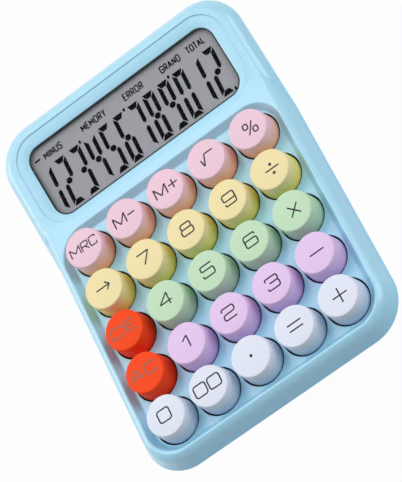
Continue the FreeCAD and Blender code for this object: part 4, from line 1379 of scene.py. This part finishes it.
    def flat(self, name: str, outlines: Iterable[list[Point]]) -> bpy.types.Object:
        """Fill outlines on the face of the glass.

        Args:
            name: Name of the object.
            outlines: Closed outlines in millimetres.

        Returns:
            The filled mesh, in place.
        """
        curve = bpy.data.curves.new(name, "CURVE")
        curve.dimensions = "2D"
        curve.fill_mode = "BOTH"
        curve.extrude = self.ink * MM
        for outline in outlines:
            add_line(curve, [Vector((x, y, 0)) for x, y in outline], True)
        obj = into_mesh(name, curve)
        obj.data.transform(self.stand())
        return obj

    def status_line(self) -> None:
        """Write the plain status words over the digits, and the minus bar."""
        pen = Pen(line=self.flag_line, ink=self.lift / 2 * MM)
        for word, middle, width in self.flags:
            letters = [STATUS_LETTERS[letter] for letter in word]
            share = (width - self.flag_line) / row_width(letters, self.flag_gap)
            gap = share * self.flag_gap
            narrow = [replace(letter, width=share * letter.width) for letter in letters]
            obj = pen.write(f"display_flag_{word.lower()}", narrow, self.flag_height, gap)
            place = Matrix.Translation((middle * MM, self.flag_middle * MM, 0))
            obj.data.transform(self.stand() @ place)
            wear(obj, Finish.FLAG.value, "case")
        left, foot, right, top = self.minus_bar
        bar = [(left, foot), (right, foot), (right, top), (left, top)]
        wear(self.flat("display_flag_bar", [bar]), Finish.SEGMENT.value, "case")


@dataclass
class SpringMat:
    """The silicone mat: a flat sheet with a soft dome under every key.

    Attributes:
        node: The CAD node.
        top: Height of the sheet's top.
        base: Radius of a dome at its foot.
        crown: Radius of a dome at its top.
        edge: Radius of a dome's top edge.
        edge_steps: Steps of that edge.
        travel: How far a key presses its dome down; not used.
        sides: Sides of a dome.
        slack: How near a height has to be to count.
    """

    node: str = "keypad_mat"
    top: float = 6.6 * MM
    base: float = 4.0 * MM
    crown: float = 2.8 * MM
    edge: float = 0.4 * MM
    edge_steps: int = 3
    travel: float = 3.0 * MM
    sides: int = 32
    slack: float = 0.01 * MM

    def build(self) -> None:
        """Make the sheet and its domes."""
        self.lay_sheet()
        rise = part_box(self.node)[1].z - self.top
        master = self.dome(rise)
        for key, middle in zip(KEYS, key_middles()):
            foot = (middle.x, middle.y, self.top)
            dome = duplicate(master, f"{key.node}_dome")
            dome.data.transform(Matrix.Translation(foot))
            wear(dome, Finish.MAT.value, "case")
            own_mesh(dome)
        bpy.data.objects.remove(master)

    def lay_sheet(self) -> None:
        """Make the sheet from the CAD mat by taking its stiff domes away."""
        obj = duplicate(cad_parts[self.node], f"{self.node}_sheet")
        weld(obj, self.slack)
        choose(obj, "FACE", lambda face: face.center.z > self.top + self.slack)
        bpy.ops.mesh.delete(type="FACE")
        bpy.ops.mesh.select_all(action="SELECT")
        bpy.ops.mesh.fill_holes(sides=0)
        bpy.ops.object.mode_set(mode="OBJECT")
        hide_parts(self.node)
        wear(obj, Finish.MAT.value, "case")

    def dome(self, rise: float) -> bpy.types.Object:
        """Model one dome on the origin.

        Args:
            rise: Its height.

        Returns:
            The dome.
        """
        release()
        bpy.ops.mesh.primitive_cone_add(
            vertices=self.sides,
            radius1=self.base,
            radius2=self.crown,
            depth=rise,
            location=(0, 0, rise / 2),
        )
        obj = bpy.context.object
        bpy.ops.object.transform_apply(location=True)
        choose(obj, "EDGE", lambda ends: min(end.z for end in ends) > rise - self.slack)
        bpy.ops.mesh.bevel(offset=self.edge, segments=self.edge_steps, affect="EDGES")
        bpy.ops.object.mode_set(mode="OBJECT")
        smooth(obj, ROUND_BEND)
        return obj


@dataclass
class Interior:
    """The hidden works and the small pieces, dressed as they are."""

    finishes: dict[str, tuple[Finish, str]] = field(
        default_factory=lambda: {
            "case_screws": (Finish.STEEL, "steel"),
            "rubber_feet": (Finish.FOOT, "foot_rubber"),
            "main_board": (Finish.BOARD, "board_green"),
            "controller_chip": (Finish.CHIP, "chip_black"),
            "board_capacitor": (Finish.CAN, "can_aluminium"),
            "display_ribbon": (Finish.RIBBON, "ribbon_amber"),
            "battery_cell": (Finish.CELL, "cell_wrap"),
            "positive_contact": (Finish.CONTACT, "contact_plate"),
            "negative_contact": (Finish.CONTACT, "contact_plate"),
            "battery_lead_positive": (Finish.LEAD_RED, "lead_red"),
            "battery_lead_negative": (Finish.LEAD_BLACK, "lead_black"),
        }
    )

    def dress(self) -> None:
        """Give every piece its finish."""
        for node, (finish, slot) in self.finishes.items():
            wear(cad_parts[node], finish.value, "case")


def seen_rays(tree: bpy.types.NodeTree) -> bpy.types.NodeSocket:
    """Mark the rays that show a surface: those of the camera, of reflections and through glass.

    Args:
        tree: The node tree to work in.

    Returns:
        An output that is 1 for such rays and 0 for light that falls on the part.
    """
    path = tree.nodes.new("ShaderNodeLightPath")
    mark = path.outputs["Is Camera Ray"]
    for name in ("Is Glossy Ray", "Is Transmission Ray"):
        larger = tree.nodes.new("ShaderNodeMath")
        larger.operation = "MAXIMUM"
        tree.links.new(mark, larger.inputs[0])
        tree.links.new(path.outputs[name], larger.inputs[1])
        mark = larger.outputs["Value"]
    return mark


@dataclass(frozen=True)
class Softbox:
    """A soft area lamp that looks at the middle of the part.

    Attributes:
        name: Its name.
        place: Where it stands, in metres.
        size: Side of its square face in metres.
        watts: Its power.
    """

    name: str
    place: tuple[float, float, float]
    size: float
    watts: float

    def build(self) -> None:
        """Set the lamp up."""
        lamp = bpy.data.lights.new(self.name, "AREA")
        lamp.size = self.size
        lamp.energy = self.watts
        obj = bpy.data.objects.new(self.name, lamp)
        obj.location = self.place
        obj.rotation_euler = (-Vector(self.place)).to_track_quat("-Z", "Y").to_euler()
        bpy.context.collection.objects.link(obj)


@dataclass
class Studio:
    """Floor, lamps, background and camera.

    Attributes:
        eye: Place of the camera in metres.
        right: Its direction to the right.
        up: Its direction upwards.
        back: Its direction backwards.
        lens: Focal length in millimetres.
        sensor: Height of the sensor in millimetres.
        ambient: Strength of the light from all round.
        sky: Linear colour of that light.
        floor_side: Side of the floor in metres.
        floor_grey: Linear grey of the floor.
        floor_roughness: Roughness of the floor.
        floor_glow: Share of plain white in the floor as the camera and reflections see it.
        lamps: The soft lamps.
    """

    eye: tuple[float, float, float] = (0.2532, -0.48376, 0.84787)
    right: tuple[float, float, float] = (0.78644, -0.40155, -0.46933)
    up: tuple[float, float, float] = (0.56294, 0.77867, 0.27708)
    back: tuple[float, float, float] = (0.25419, -0.48210, 0.83843)
    lens: float = 194.66
    sensor: float = 36.0
    ambient: float = 0.36
    sky: Color = (0.94, 0.97, 1.0)
    floor_side: float = 6.0
    floor_grey: float = 0.55
    floor_roughness: float = 0.9
    floor_glow: float = 0.97
    lamps: tuple[Softbox, ...] = (
        Softbox("lamp_left_back", (-0.6, 0.55, 1.2), 1.5, 13.0),
        Softbox("lamp_rim", (-1.1, 0.5, 0.35), 0.6, 4.0),
        Softbox("lamp_right_back", (1.0, 0.1, 0.8), 0.9, 7.5),
    )

    def build(self) -> None:
        """Set up the whole studio."""
        self.set_camera()
        for lamp in self.lamps:
            lamp.build()
        self.set_background()
        self.lay_floor()
        bpy.context.scene.view_settings.view_transform = "Standard"

    def set_camera(self) -> None:
        """Stand the camera where the photograph was taken."""
        data = bpy.data.cameras.new("camera")
        data.lens = self.lens
        data.sensor_fit = "VERTICAL"
        data.sensor_height = self.sensor
        camera = bpy.data.objects.new("camera", data)
        columns = Matrix((self.right, self.up, self.back)).transposed()
        camera.matrix_world = Matrix.Translation(self.eye) @ columns.to_4x4()
        bpy.context.collection.objects.link(camera)
        bpy.context.scene.camera = camera

    def set_background(self) -> None:
        """Light the part from all round, and show plain white behind it."""
        world = bpy.data.worlds.new("studio")
        world.use_nodes = True
        tree = world.node_tree
        tree.nodes.clear()
        glow = tree.nodes.new("ShaderNodeBackground")
        glow.inputs["Color"].default_value = (*self.sky, 1)
        glow.inputs["Strength"].default_value = self.ambient
        plain = tree.nodes.new("ShaderNodeBackground")
        plain.inputs["Color"].default_value = (1, 1, 1, 1)
        mix = tree.nodes.new("ShaderNodeMixShader")
        out = tree.nodes.new("ShaderNodeOutputWorld")
        tree.links.new(seen_rays(tree), mix.inputs["Fac"])
        tree.links.new(glow.outputs["Background"], mix.inputs[1])
        tree.links.new(plain.outputs["Background"], mix.inputs[2])
        tree.links.new(mix.outputs["Shader"], out.inputs["Surface"])
        bpy.context.scene.world = world

    def lay_floor(self) -> None:
        """Lay the pale floor."""
        release()
        bpy.ops.mesh.primitive_plane_add(size=self.floor_side)
        floor = bpy.context.object
        floor.name = "floor"
        shader = Shader("floor_white")
        grey = self.floor_grey
        shader.set(Base_Color=(grey, grey, grey, 1), Roughness=self.floor_roughness)
        glow = shader.add("ShaderNodeEmission")
        share = shader.add("ShaderNodeMath", operation="MULTIPLY")
        share.inputs[1].default_value = self.floor_glow
        mix = shader.add("ShaderNodeMixShader")
        shader.join(seen_rays(shader.tree), share.inputs[0])
        shader.join(share.outputs["Value"], mix.inputs["Fac"])
        shader.join(shader.surface.outputs["BSDF"], mix.inputs[1])
        shader.join(glow.outputs["Emission"], mix.inputs[2])
        shader.join(mix.outputs["Shader"], shader.tree.nodes["Material Output"].inputs["Surface"])
        floor.data.materials.append(shader.material)


def main() -> None:
    """Dress the calculator in order."""
    logging.basicConfig(level=logging.INFO)
    release()
    for label, step in (
        ("studio", Studio().build),
        ("case", Case().build),
        ("keypad", Keypad().build),
        ("display", Display().build),
        ("mat", SpringMat().build),
        ("interior", Interior().dress),
    ):
        log.info("Building the %s", label)
        step()


if __name__ == "__main__":
    main()
